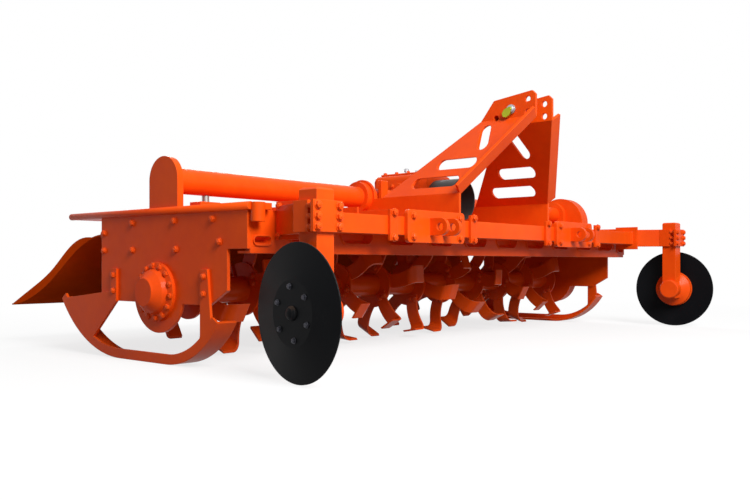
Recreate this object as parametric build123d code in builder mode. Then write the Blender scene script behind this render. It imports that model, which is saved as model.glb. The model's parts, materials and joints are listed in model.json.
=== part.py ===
from build123d import *
import os
from math import acos, asin, cos, degrees, radians, sin

# A tractor-mounted rotavator: a bladed rotor under a hood, a three-point mast, an edge
# disc on an arm at each end, skids and a levelling board behind.
# Millimetres. +Z is up, +X runs to the machine's left, -Y faces the tractor.
# The origin lies on the floor at the middle of the machine's length and width.

os.makedirs("parts", exist_ok=True)

SIDES = (("right", -1), ("left", 1))

# ---- Rotor: its flanges set the machine's width ----
flange_count = 11
flange_pitch = 250.0
flange_r = 100.0
flange_t = 10.0
rotor_y = -82.0
rotor_z = 242.0            # height of the axis
rotor_tube_r = 47.5
rotor_tube_wall = 10.0
rotor_overhang = 80.0      # tube past the outer flanges
rotor_end_gap = 33.0       # tube's end to the side plate
stub_r = 25.0
running_gap = 0.05         # radial play of shafts in their bores

# ---- Blades ----
blade_tip_r = 222.0
blade_root_r = 58.0
blade_t = 8.0
blade_width = 75.0
blade_reach = 80.0         # how far the bent tip stands out from its flange
blade_bend_r = 30.0
blade_belly = 14.0         # bow of the leading edge ahead of the root
blade_rake = 12.0          # how far the tip trails the root
blades_per_face = 3
flange_phase = 22.0        # turn of each flange's blades past the last one's, degrees

# ---- Side plates and rails ----
plate_t = 12.0
plate_top_z = 505.0
plate_front_y = -543.0
plate_rear_y = 269.0
plate_step_y = -448.0      # front edge of the lower part
plate_step_z = 384.0
plate_corner_z = 254.0
plate_slant_y = -360.0
plate_low_z = 204.0
lobe_r = 140.0
stub_hole_r = 35.0
rail_w = 80.0
rail_t = 21.0
rail_rear_y = 484.0
boss_r = 22.5
boss_h = 59.0
cross_bar_w = 60.0

# ---- Skids ----
skid_w = 80.0
skid_t = 10.0
skid_web_h = 34.0          # outer web above the sole's underside
skid_front_y = -412.0
skid_front_r = 318.0
skid_flat_y = -142.0        # front end of the flat sole
skid_rear_y = 534.0
skid_rear_z = 203.0
skid_rear_r = 497.0
strap_w = 36.0
strap_top_z = 320.0
strap_front_y = -342.0
strap_rear_y = 176.0

# ---- Hood, front channel and deck ribs ----
hood_t = 6.0
hood_bend_y = 148.0
hinge_z = 445.0
hood_hinge_gap = 12.0
channel_t = 8.0
channel_low_z = 370.0
channel_depth = 60.0
window_len = 160.0
window_h = 58.0
window_z = 437.0
end_slot_len = 68.0
end_slot_h = 24.0
end_slot_inset = 48.0      # slot's middle from the channel's end
end_slot_z = 410.0
rib_t = 8.0
rib_h = 38.0
rib_xs = (620.0, 800.0, 980.0)

# ---- Drive line ----
tube_y = -112.0
tube_z = 622.0
tube_r = 44.5
tube_wall = 6.0
end_plate_r = 80.0
end_plate_t = 24.0
case_t = 85.0
case_top_r = 145.0
case_top_y = -144.0
case_top_z = 572.0
case_low_r = 132.0
case_boss_r = 70.0
case_edge_r = 14.0
case_floor_t = 20.0
gearbox_w = 230.0
gearbox_len = 300.0
gearbox_h = 235.0
gearbox_flange_r = 80.0
gearbox_flange_t = 16.0
gearbox_corner_r = 30.0
gearbox_edge_r = 25.0
gearbox_foot_out = 35.0    # base flange past the box's sides
gearbox_foot_in = 30.0     # and short of its ends
pto_r = 17.4
pto_len = 90.0
journal_r = 22.0
journal_len = 110.0
journal_end_gap = 5.0
snout_r = 88.0
snout_len = 24.0
guard_t = 4.0
guard_len = 136.0
support_len = 95.0
support_w = 60.0
support_h = 34.0
support_pin_r = 13.0
support_inset = 178.0      # from the side plate's outer face
collar_r = 66.0
collar_w = 30.0

# ---- Toolbar and lower hitch ----
bar_w = 65.0
bar_wall = 6.0
bar_gap = 34.0             # toolbar to channel
bar_inset = 125.0          # toolbar's end inside the side plate's outer face
bracket_t = 20.0
bracket_pitch = 420.0
bracket_count = 6
clamp_w = 40.0
clamp_t = 12.0
clamp_overlap = 22.0       # strap above and below the toolbar
clamp_step = 250.0         # strap's middle from the hitch plate's middle
hitch_x = 553.0
hitch_plate_w = 356.0
hitch_plate_h = 118.0
hitch_plate_t = 16.0
hitch_ear_gap = 62.0
hitch_ear_reach = 78.0
hitch_ear_r = 32.0
hitch_hole_r = 14.5

# ---- Mast ----
mast_t = 12.0
ear_x = 75.0               # outer face of the ears
foot_x = 362.0             # outer face of the upright feet
foot_h = 108.0
slope_h = 324.0            # height of the inclined panels
ear_h = 105.0
ear_front_y = -800.0
ear_len = 262.0
ear_top_len = 197.0
ear_top_drop = 22.0
ear_chamfer = 16.0
foot_front_y = -624.0
foot_rear_y = -232.0
tube_eye_r = 76.0
mast_flange_w = 50.0
link_hole_r = 12.75
link_hole_back = 36.0      # holes behind the ears' front edge
link_hole_drop = 34.0      # upper hole below the ears' top
link_hole_step = 52.0
pin_hole_back = 112.0
pin_hole_drop = 68.0
rear_hole_back = 186.0
rear_hole_drop = 97.0
mast_pin_r = 12.5
mast_pin_head_r = 20.0
mast_pin_head_t = 8.0
spacer_r = 21.0
slot_w = 46.0
slots = (  # drop below the ears, distance behind the front edge, length, tilt
    (78.0, 157.0, 120.0, 70.0),
    (190.0, 166.0, 190.0, 0.0),
    (268.0, 183.0, 230.0, 0.0),
)

# ---- Edge discs, legs and arms ----
disc_r = 200.0
disc_t = 6.0
disc_flat_r = 95.0
disc_dish = 14.0
disc_toe = 9.0             # degrees
arm_out = 104.0            # leg past the toolbar's end
arm_forward = 207.0        # leg ahead of the toolbar
arm_w = 46.0
arm_h = 90.0
arm_wall = 6.0
arm_foot_h = 120.0
leg_w = 70.0
leg_wall = 6.0
leg_top = 36.0             # leg past the arm's top
leg_offset = 82.0          # leg's middle to the disc
sleeve_t = 12.0
leg_clamp_gap = 24.0
leg_clamp_w = 120.0
leg_bolt_r = 8.0
leg_bolt_count = 3
hub_flange_r = 92.0
hub_flange_t = 12.0
hub_gap = 5.0
hub_mouth_r = 88.0
hub_body_r = 48.0
hub_taper = 46.0
hub_len = 128.0
spindle_r = 20.0
spindle_len = 100.0

# ---- Levelling board ----
board_t = 6.0
board_end_gap = 18.0       # board's end inside the side plate
board_rib_h = 30.0
board_rib_t = 8.0
board_rib_count = 5
board_shape = (  # distance behind the hinge and below it
    (24.0, 2.0),
    (77.0, 10.0),
    (201.0, 57.0),
    (362.0, 157.0),
    (545.0, 243.0),
    (717.0, 281.0),
)
knuckle_r = 14.0
hinge_rod_r = 8.0
hinge_fit = 0.05
hinge_ear_t = 8.0
hinge_ear_count = 5
hinge_ear_grip = 60.0      # length of the ears along the hood
hinge_end_play = 2.0

# ---- Places that follow from the sizes ----
rotor_half_len = (flange_count - 1) / 2 * flange_pitch + rotor_overhang
plate_inner_x = rotor_half_len + rotor_end_gap
plate_outer_x = plate_inner_x + plate_t
rail_inner_x = plate_outer_x - rail_w
rail_top_z = plate_top_z + rail_t
boss_y = plate_front_y - boss_r
hood_front_y = plate_front_y + channel_depth
hinge_y = plate_rear_y + knuckle_r
bar_half_len = plate_outer_x - bar_inset
bar_rear_y = plate_front_y - bar_gap
bar_front_y = bar_rear_y - bar_w
bar_mid_y = bar_rear_y - bar_w / 2
bar_low_z = plate_top_z - bar_w
bar_mid_z = plate_top_z - bar_w / 2
leg_x = bar_half_len + arm_out
leg_y = bar_mid_y - arm_forward
arm_low_z = bar_mid_z - arm_h / 2
sleeve_w = leg_w + 2 * sleeve_t
foot_fold_z = plate_top_z + foot_h
ear_fold_z = foot_fold_z + slope_h
mast_top_z = ear_fold_z + ear_h
hitch_pin_y = bar_front_y - hitch_plate_t - hitch_ear_reach + hitch_ear_r
snout_y = tube_y - gearbox_len / 2 - snout_len


# ================= Side plates, rails and skids =================

for side, sign in SIDES:
    with BuildPart() as plate:
        with BuildSketch(Plane.YZ.offset(sign * plate_outer_x)):
            with BuildLine():
                Polyline(
                    (plate_front_y, plate_top_z),
                    (plate_front_y, plate_step_z),
                    (plate_step_y, plate_step_z),
                    (plate_step_y, plate_corner_z),
                    (plate_slant_y, plate_low_z),
                    (plate_rear_y, plate_low_z),
                    (plate_rear_y, plate_top_z),
                    close=True,
                )
            make_face()
            with Locations((rotor_y, rotor_z)):
                Circle(lobe_r)
                Circle(stub_hole_r, mode=Mode.SUBTRACT)
        extrude(amount=-sign * plate_t)
    plate.part.label = f"side_plate_{side}"
    export_step(plate.part, f"parts/side_plate_{side}.step")

    # Flat rail on the plate's top, with an upright boss at its front end.
    with BuildPart() as rail:
        with BuildSketch(Plane.XY.offset(plate_top_z)):
            with Locations((sign * (rail_inner_x + rail_w / 2), (boss_y + rail_rear_y) / 2)):
                Rectangle(rail_w, rail_rear_y - boss_y)
        extrude(amount=rail_t)
        with BuildSketch(Plane.XY.offset(rail_top_z)):
            with Locations((sign * (plate_outer_x - boss_r), boss_y)):
                Circle(boss_r)
        extrude(amount=-boss_h)
    rail.part.label = f"side_rail_{side}"
    export_step(rail.part, f"parts/side_rail_{side}.step")

    # Skid: a bent sole with two webs and two straps bolted to the plate's outer face.
    front_turn = degrees(asin((skid_flat_y - skid_front_y) / skid_front_r))
    rear_turn = degrees(acos(1 - skid_rear_z / skid_rear_r))
    sole_rear_y = skid_rear_y - skid_rear_r * sin(radians(rear_turn))
    web_plane = Plane.YZ.offset(sign * (plate_outer_x + skid_t))
    with BuildPart() as skid:
        with BuildSketch(web_plane):
            with BuildLine():
                front = CenterArc(
                    (skid_flat_y, skid_front_r), skid_front_r, 270 - front_turn, front_turn
                )
                Line((skid_flat_y, 0), (sole_rear_y, 0))
                rear = CenterArc((sole_rear_y, skid_rear_r), skid_rear_r, 270, rear_turn)
                offset(amount=skid_t, side=Side.LEFT)
            make_face()
        extrude(amount=-sign * skid_w)
        with BuildSketch(web_plane):
            with BuildLine():
                add([front, Line(front @ 1, rear @ 0, mode=Mode.PRIVATE), rear])
                offset(amount=skid_web_h, side=Side.LEFT)
            make_face()
            with BuildLine():
                ThreePointArc(rear @ 0.45, rear @ 0.7, rear @ 1)
                Polyline(
                    rear @ 1,
                    (strap_rear_y + strap_w / 2, skid_rear_z + strap_w),
                    (strap_rear_y + strap_w / 2, strap_top_z),
                    (strap_rear_y - strap_w / 2, strap_top_z),
                    (strap_rear_y - strap_w / 2, skid_rear_z),
                    rear @ 0.45,
                )
            make_face()
            with BuildLine():
                Polyline(
                    (strap_front_y - strap_w / 2, strap_top_z),
                    (strap_front_y + strap_w / 2, strap_top_z),
                    (strap_front_y + strap_w / 2, 3 * strap_w),
                    front @ 0.45,
                    front @ 0.15,
                    close=True,
                )
            make_face()
        extrude(amount=-sign * skid_t)
    skid.part.label = f"skid_{side}"
    export_step(skid.part, f"parts/skid_{side}.step")

# Flat bar that joins the rails' rear ends.
with BuildPart() as cross_bar:
    with BuildSketch(Plane.XY.offset(plate_top_z)):
        with Locations((0, rail_rear_y - cross_bar_w / 2)):
            Rectangle(2 * rail_inner_x, cross_bar_w)
    extrude(amount=rail_t)
cross_bar.part.label = "rear_cross_bar"
export_step(cross_bar.part, "parts/rear_cross_bar.step")

# ================= Front channel, hood and deck ribs =================

# Channel open to the rear, with a row of long windows over the rotor's flanges' gaps.
with BuildPart() as channel:
    with BuildSketch(Plane.YZ.offset(-plate_inner_x)):
        with BuildLine():
            Polyline(
                (hood_front_y, channel_low_z + channel_t / 2),
                (plate_front_y + channel_t / 2, channel_low_z + channel_t / 2),
                (plate_front_y + channel_t / 2, plate_top_z - channel_t / 2),
                (hood_front_y, plate_top_z - channel_t / 2),
            )
        trace(line_width=channel_t)
    extrude(amount=2 * plate_inner_x)
    with BuildSketch(Plane.XZ.offset(-plate_front_y)):
        with Locations((0, window_z)):
            with GridLocations(flange_pitch, 0, flange_count - 1, 1):
                SlotOverall(window_len, window_h)
        for _, sign in SIDES:
            with Locations((sign * (plate_inner_x - end_slot_inset), end_slot_z)):
                SlotOverall(end_slot_len, end_slot_h)
    extrude(amount=-channel_t, mode=Mode.SUBTRACT)
channel.part.label = "front_channel"
export_step(channel.part, "parts/front_channel.step")

# Hood: a deck over the rotor that bends down to the levelling board's hinge.
with BuildPart() as hood:
    with BuildSketch(Plane.YZ.offset(-plate_inner_x)):
        with BuildLine():
            Polyline(
                (hood_front_y, plate_top_z - hood_t / 2),
                (hood_bend_y, plate_top_z - hood_t / 2),
                (plate_rear_y - hood_hinge_gap, hinge_z),
            )
        trace(line_width=hood_t)
    extrude(amount=2 * plate_inner_x)
hood.part.label = "hood_shell"
export_step(hood.part, "parts/hood_shell.step")

with BuildPart() as ribs:
    with BuildSketch(Plane.XY.offset(plate_top_z)):
        for _, sign in SIDES:
            for rib_x in rib_xs:
                with Locations((sign * rib_x, (hood_front_y + hood_bend_y) / 2)):
                    Rectangle(rib_t, hood_bend_y - hood_front_y)
    extrude(amount=rib_h)
ribs.part.label = "deck_ribs"
export_step(ribs.part, "parts/deck_ribs.step")

# ================= Drive line =================

gearbox_top_z = plate_top_z + gearbox_h
with BuildPart() as gearbox:
    with BuildSketch(Plane.XY.offset(plate_top_z)):
        with Locations((0, tube_y)):
            RectangleRounded(gearbox_w, gearbox_len, gearbox_corner_r)
    extrude(amount=gearbox_h)
    fillet(gearbox.faces().sort_by(Axis.Z)[-1].edges(), gearbox_edge_r)
    with BuildSketch(Plane.YZ.offset(-gearbox_w / 2 - gearbox_flange_t)):
        with Locations((tube_y, tube_z)):
            Circle(gearbox_flange_r)
    extrude(amount=gearbox_w + 2 * gearbox_flange_t)
    with BuildSketch(Plane.XZ.offset(-snout_y)):
        with Locations((0, tube_z)):
            Circle(snout_r)
    extrude(amount=-snout_len - gearbox_corner_r / 3)
    with BuildSketch(Plane.XY.offset(plate_top_z)):
        with Locations((0, tube_y)):
            Rectangle(gearbox_w + 2 * gearbox_foot_out, gearbox_len - 2 * gearbox_foot_in)
    extrude(amount=gearbox_flange_t)
    with BuildSketch(Plane.XZ.offset(-snout_y)):
        with Locations((0, tube_z)):
            Circle(journal_r + running_gap)
    extrude(amount=-journal_len - journal_end_gap, mode=Mode.SUBTRACT)
gearbox.part.label = "gearbox_housing"
export_step(gearbox.part, "parts/gearbox_housing.step")

with BuildPart() as pto_shaft:
    with BuildSketch(Plane.XZ.offset(-snout_y)):
        with Locations((0, tube_z)):
            Circle(journal_r)
    extrude(amount=-journal_len)
    with BuildSketch(Plane.XZ.offset(-snout_y)):
        with Locations((0, tube_z)):
            Circle(pto_r)
    extrude(amount=pto_len)
pto_shaft.part.label = "pto_shaft"
export_step(pto_shaft.part, "parts/pto_shaft.step")

# Guard: a round shield pushed over the gearbox's snout.
with BuildPart() as guard:
    with BuildSketch(Plane.XZ.offset(-(snout_y + snout_len))):
        with Locations((0, tube_z)):
            Circle(snout_r + guard_t)
            Circle(snout_r + 0.2, mode=Mode.SUBTRACT)
    extrude(amount=guard_len)
guard.part.label = "pto_guard"
export_step(guard.part, "parts/pto_guard.step")

tube_inner_x = gearbox_w / 2 + gearbox_flange_t
tube_outer_x = plate_outer_x - end_plate_t
support_x = plate_outer_x - support_inset
for side, sign in SIDES:
    with BuildPart() as tube:
        with BuildSketch(Plane.YZ.offset(sign * tube_inner_x)):
            with Locations((tube_y, tube_z)):
                Circle(tube_r)
                Circle(tube_r - tube_wall, mode=Mode.SUBTRACT)
        extrude(amount=sign * (tube_outer_x - tube_inner_x))
        with BuildSketch(Plane.YZ.offset(sign * foot_x)):
            with Locations((tube_y, tube_z)):
                Circle(collar_r)
                Circle(tube_r - tube_wall, mode=Mode.SUBTRACT)
        extrude(amount=sign * collar_w)
    tube.part.label = f"drive_tube_{side}"
    export_step(tube.part, f"parts/drive_tube_{side}.step")

# Foot blocks and steel jack pins under the drive tube's ends.
with BuildPart() as supports:
    with BuildSketch(Plane.XY.offset(plate_top_z)):
        with Locations((support_x, tube_y), (-support_x, tube_y)):
            Rectangle(support_len, support_w)
    extrude(amount=support_h)
supports.part.label = "tube_foot_blocks"
export_step(supports.part, "parts/tube_foot_blocks.step")

with BuildPart() as jack_pins:
    with BuildSketch(Plane.XY.offset(plate_top_z + support_h)):
        with Locations((support_x, tube_y), (-support_x, tube_y)):
            Circle(support_pin_r)
    extrude(amount=tube_z - tube_r - plate_top_z - support_h)
jack_pins.part.label = "tube_jack_pins"
export_step(jack_pins.part, "parts/tube_jack_pins.step")

with BuildPart() as end_plate:
    with BuildSketch(Plane.YZ.offset(-plate_outer_x)):
        with Locations((tube_y, tube_z)):
            Circle(end_plate_r)
        with Locations((tube_y, (tube_z + rail_top_z) / 2)):
            Rectangle(2 * end_plate_r, tube_z - rail_top_z)
    extrude(amount=end_plate_t)
end_plate.part.label = "tube_end_plate_right"
export_step(end_plate.part, "parts/tube_end_plate_right.step")

# Side drive case: a tall rounded case on the left plate, with an inner boss for the tube.
with BuildPart() as case:
    with BuildSketch(Plane.YZ.offset(plate_outer_x)):
        top_circle = Circle(case_top_r, mode=Mode.PRIVATE).move(Location((case_top_y, case_top_z)))
        low_circle = Circle(case_low_r, mode=Mode.PRIVATE).move(Location((rotor_y, rotor_z)))
        add([top_circle, low_circle])
        make_hull()
    extrude(amount=case_t)
    fillet(case.faces().sort_by(Axis.X)[-1].edges(), case_edge_r)
    with BuildSketch(Plane.YZ.offset(plate_outer_x)):
        with Locations((tube_y, tube_z)):
            Circle(case_boss_r)
        with Locations((tube_y, (tube_z + rail_top_z) / 2)):
            Rectangle(2 * case_boss_r, tube_z - rail_top_z)
    extrude(amount=-end_plate_t)
    with BuildSketch(Plane.YZ.offset(plate_outer_x)):
        with Locations((rotor_y, rotor_z)):
            Circle(stub_r + running_gap)
    extrude(amount=case_t - case_floor_t, mode=Mode.SUBTRACT)
case.part.label = "side_drive_case_left"
export_step(case.part, "parts/side_drive_case_left.step")

# Bell-shaped bearing housing on the right plate: (radius, distance from the plate).
bell_bore_len = 50.0
bell_profile = (
    (stub_r + running_gap, 0),
    (100, 0),
    (100, 12),
    (78, 18),
    (72, 34),
    (52, 54),
    (47, 60),
    (0, 60),
    (0, bell_bore_len),
    (stub_r + running_gap, bell_bore_len),
)
bell_plane = Plane((-plate_outer_x, rotor_y, rotor_z), x_dir=(0, 1, 0), z_dir=(0, 0, 1))
with BuildPart() as bearing:
    with BuildSketch(bell_plane):
        with BuildLine():
            Polyline(*bell_profile, close=True)
        make_face()
    revolve(axis=Axis(bell_plane.origin, (1, 0, 0)))
bearing.part.label = "bearing_housing_right"
export_step(bearing.part, "parts/bearing_housing_right.step")

# ================= Rotor =================

rotor_plane = Plane((0, rotor_y, rotor_z), x_dir=(0, 1, 0), z_dir=(1, 0, 0))
flange_xs = [(i - (flange_count - 1) / 2) * flange_pitch for i in range(flange_count)]

with BuildPart() as rotor_tube:
    with BuildSketch(rotor_plane.offset(-rotor_half_len)):
        Circle(rotor_tube_r)
        Circle(rotor_tube_r - rotor_tube_wall, mode=Mode.SUBTRACT)
    extrude(amount=2 * rotor_half_len)
    for flange_x in flange_xs:
        with BuildSketch(rotor_plane.offset(flange_x - flange_t / 2)):
            Circle(flange_r)
            Circle(rotor_tube_r - rotor_tube_wall / 2, mode=Mode.SUBTRACT)
        extrude(amount=flange_t)
rotor_tube.part.label = "rotor_tube"
export_step(rotor_tube.part, "parts/rotor_tube.step")

plug_len = 20.0
stub_end_gap = 2.0
stub_reaches = (bell_bore_len - stub_end_gap, case_t - case_floor_t - stub_end_gap)   # past the plate's outer face, right and left
for (side, sign), reach in zip(SIDES, stub_reaches):
    with BuildPart() as stub:
        with BuildSketch(rotor_plane.offset(sign * (rotor_half_len - plug_len))):
            Circle(rotor_tube_r - rotor_tube_wall)
        extrude(amount=sign * plug_len)
        with BuildSketch(rotor_plane.offset(sign * rotor_half_len)):
            Circle(stub_r)
        extrude(amount=sign * (plate_outer_x + reach - rotor_half_len))
    stub.part.label = f"rotor_stub_{side}"
    export_step(stub.part, f"parts/rotor_stub_{side}.step")

# L-shaped blade: a bent bar cut to a sickle outline. It stands up from the rotor's axis
# on a flange's left face, and its tip bends away from the flange.
with BuildPart() as blade:
    with BuildSketch(Plane.XZ.offset(-blade_tip_r)):
        with BuildLine():
            FilletPolyline(
                (blade_t / 2, blade_root_r),
                (blade_t / 2, blade_tip_r - blade_t / 2),
                (blade_reach, blade_tip_r - blade_t / 2),
                radius=blade_bend_r,
            )
        trace(line_width=blade_t)
    extrude(amount=2 * blade_tip_r)
    mid_r = (blade_root_r + blade_tip_r) / 2
    cut_low = blade_root_r - blade_t
    cut_top = blade_tip_r + blade_t
    with BuildSketch(Plane.YZ):
        with BuildLine():
            lead = ThreePointArc((0, cut_low), (-blade_belly, mid_r), (blade_rake, cut_top))
            trail = ThreePointArc(
                (blade_width * 0.75, cut_low),
                (blade_width - 2 * blade_belly, mid_r),
                (blade_width + blade_rake, cut_top),
            )
            Line(lead @ 0, trail @ 0)
            Line(lead @ 1, trail @ 1)
        make_face()
    extrude(amount=blade_reach, mode=Mode.INTERSECT)

# The outer flanges carry blades on their inner faces only.
for facing, sign in SIDES:
    mirrored = sign < 0
    shape = blade.part.mirror(Plane.YZ) if mirrored else blade.part
    with BuildPart() as blades:
        for i, flange_x in enumerate(flange_xs):
            if sign * flange_x == max(flange_xs):
                continue
            half_step = 180 / blades_per_face if mirrored else 0
            for k in range(blades_per_face):
                turn = flange_phase * i + half_step + 360 / blades_per_face * k
                add(Pos(flange_x + sign * flange_t / 2, rotor_y, rotor_z) * Rot(turn, 0, 0) * shape)
    blades.part.label = f"rotor_blades_{facing}_facing"
    export_step(blades.part, f"parts/rotor_blades_{facing}_facing.step")

# ================= Toolbar and lower hitch =================

with BuildPart() as toolbar:
    with BuildSketch(Plane.YZ.offset(-bar_half_len)):
        with Locations((bar_mid_y, bar_mid_z)):
            Rectangle(bar_w, bar_w)
            Rectangle(bar_w - 2 * bar_wall, bar_w - 2 * bar_wall, mode=Mode.SUBTRACT)
    extrude(amount=2 * bar_half_len)
toolbar.part.label = "front_toolbar"
export_step(toolbar.part, "parts/front_toolbar.step")

with BuildPart() as brackets:
    with BuildSketch(Plane.XY.offset(bar_low_z)):
        with Locations((0, (bar_rear_y + plate_front_y) / 2)):
            with GridLocations(bracket_pitch, 0, bracket_count, 1):
                Rectangle(bracket_t, bar_gap)
    extrude(amount=bar_w)
brackets.part.label = "toolbar_brackets"
export_step(brackets.part, "parts/toolbar_brackets.step")

with BuildPart() as clamps:
    with BuildSketch(Plane.XZ.offset(-bar_front_y)):
        for _, sign in SIDES:
            for step in (-clamp_step, clamp_step):
                with Locations((sign * hitch_x + step, bar_mid_z)):
                    Rectangle(clamp_w, bar_w + 2 * clamp_overlap)
    extrude(amount=clamp_t)
clamps.part.label = "toolbar_clamps"
export_step(clamps.part, "parts/toolbar_clamps.step")

# Lower hitch: a plate on the toolbar with two ears that take the tractor's link pin.
hitch_ear_step = hitch_ear_gap + hitch_plate_t
for side, sign in SIDES:
    with BuildPart() as hitch:
        with BuildSketch(Plane.XZ.offset(-bar_front_y)):
            with Locations((sign * hitch_x, bar_mid_z)):
                RectangleRounded(hitch_plate_w, hitch_plate_h, hitch_plate_t)
        extrude(amount=hitch_plate_t)
        for ear in (-1, 1):
            ear_plane = Plane.YZ.offset(sign * hitch_x + ear * hitch_ear_step / 2 - hitch_plate_t / 2)
            with BuildSketch(ear_plane):
                with BuildLine():
                    nose = CenterArc((hitch_pin_y, bar_mid_z), hitch_ear_r, 90, 180)
                    Polyline(
                        nose @ 0,
                        (bar_front_y - hitch_plate_t, bar_mid_z + hitch_ear_r),
                        (bar_front_y - hitch_plate_t, bar_mid_z - hitch_ear_r),
                        nose @ 1,
                    )
                make_face()
                with Locations((hitch_pin_y, bar_mid_z)):
                    Circle(hitch_hole_r, mode=Mode.SUBTRACT)
            extrude(amount=hitch_plate_t)
    hitch.part.label = f"lower_hitch_{side}"
    export_step(hitch.part, f"parts/lower_hitch_{side}.step")

# ================= Mast =================

# Each mast plate is a bent sheet: an ear for the top link, an inclined panel and a foot
# that stands on the deck and rings the drive tube. A flange stiffens its front edge.
upper_hole = (ear_front_y + link_hole_back, mast_top_z - link_hole_drop)
lower_hole = (ear_front_y + link_hole_back, mast_top_z - link_hole_drop - link_hole_step)
pin_hole = (ear_front_y + pin_hole_back, mast_top_z - pin_hole_drop)
rear_hole = (ear_front_y + rear_hole_back, mast_top_z - rear_hole_drop)
edge_lean = (foot_front_y - ear_front_y) / slope_h
edge_dir = Vector(0, -edge_lean, 1).normalized()
edge_len = slope_h / edge_dir.Z
flange_plane = Plane(
    (0, ear_front_y, ear_fold_z), x_dir=(1, 0, 0), z_dir=Vector(1, 0, 0).cross(edge_dir)
)
flange_dir = Vector(edge_len, foot_x - ear_x, 0).normalized()
for side, sign in SIDES:
    with BuildPart() as mast:
        with BuildSketch(Plane.XZ.offset(-ear_front_y)):
            with BuildLine():
                Polyline(
                    (sign * (ear_x - mast_t / 2), mast_top_z),
                    (sign * (ear_x - mast_t / 2), ear_fold_z),
                    (sign * (foot_x - mast_t / 2), foot_fold_z),
                    (sign * (foot_x - mast_t / 2), plate_top_z),
                )
            trace(line_width=mast_t)
        extrude(amount=ear_front_y)
        with BuildSketch(Plane.YZ):
            with BuildLine():
                Polyline(
                    (ear_front_y + ear_top_len, mast_top_z - ear_top_drop),
                    (ear_front_y + ear_chamfer, mast_top_z),
                    (ear_front_y, mast_top_z - ear_chamfer),
                    (ear_front_y, ear_fold_z),
                    (foot_front_y, foot_fold_z),
                    (foot_front_y, plate_top_z),
                    (foot_rear_y, plate_top_z),
                    (foot_rear_y, foot_fold_z),
                    (ear_front_y + ear_len, ear_fold_z),
                    close=True,
                )
            make_face()
            with Locations(upper_hole, lower_hole, pin_hole, rear_hole):
                Circle(link_hole_r, mode=Mode.SUBTRACT)
            for drop, back, slot_len, tilt in slots:
                slot_y = ear_front_y + edge_lean * drop + back
                with Locations(Location((slot_y, ear_fold_z - drop), tilt)):
                    SlotOverall(slot_len, slot_w, mode=Mode.SUBTRACT)
        extrude(amount=sign * (foot_x + mast_t), mode=Mode.INTERSECT)
        edge_top = Vector(sign * (ear_x - mast_t / 2), 0)
        edge_foot = Vector(sign * (foot_x - mast_t / 2), -edge_len)
        outward = Vector(sign * flange_dir.X, flange_dir.Y) * mast_flange_w
        with BuildSketch(flange_plane):
            with BuildLine():
                Polyline(edge_top, edge_foot, edge_foot + outward, edge_top + outward, close=True)
            make_face()
        extrude(amount=-mast_t)
        with BuildSketch(Plane.YZ.offset(sign * foot_x)):
            with Locations(((foot_rear_y + tube_y) / 2, (plate_top_z + foot_fold_z) / 2)):
                Rectangle(tube_y - foot_rear_y, foot_h)
            with Locations((tube_y, (plate_top_z + tube_z) / 2)):
                Rectangle(2 * tube_eye_r, tube_z - plate_top_z)
            with Locations((tube_y, tube_z)):
                Circle(tube_eye_r)
                Circle(tube_r + running_gap, mode=Mode.SUBTRACT)
        extrude(amount=-sign * mast_t)
    mast.part.label = f"mast_plate_{side}"
    export_step(mast.part, f"parts/mast_plate_{side}.step")

# Spacer tubes between the ears, round the pin and behind the rear holes.
with BuildPart() as spacers:
    with BuildSketch(Plane.YZ.offset(mast_t - ear_x)):
        with Locations(pin_hole, rear_hole):
            Circle(spacer_r)
            Circle(link_hole_r, mode=Mode.SUBTRACT)
    extrude(amount=2 * (ear_x - mast_t))
spacers.part.label = "mast_spacers"
export_step(spacers.part, "parts/mast_spacers.step")

with BuildPart() as mast_pin:
    with BuildSketch(Plane.YZ.offset(-ear_x)):
        with Locations(pin_hole):
            Circle(mast_pin_r)
    extrude(amount=2 * ear_x)
    for _, sign in SIDES:
        with BuildSketch(Plane.YZ.offset(sign * ear_x)):
            with Locations(pin_hole):
                Circle(mast_pin_head_r)
        extrude(amount=sign * mast_pin_head_t)
mast_pin.part.label = "mast_pin"
export_step(mast_pin.part, "parts/mast_pin.step")

# ================= Edge discs, legs and arms =================

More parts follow.
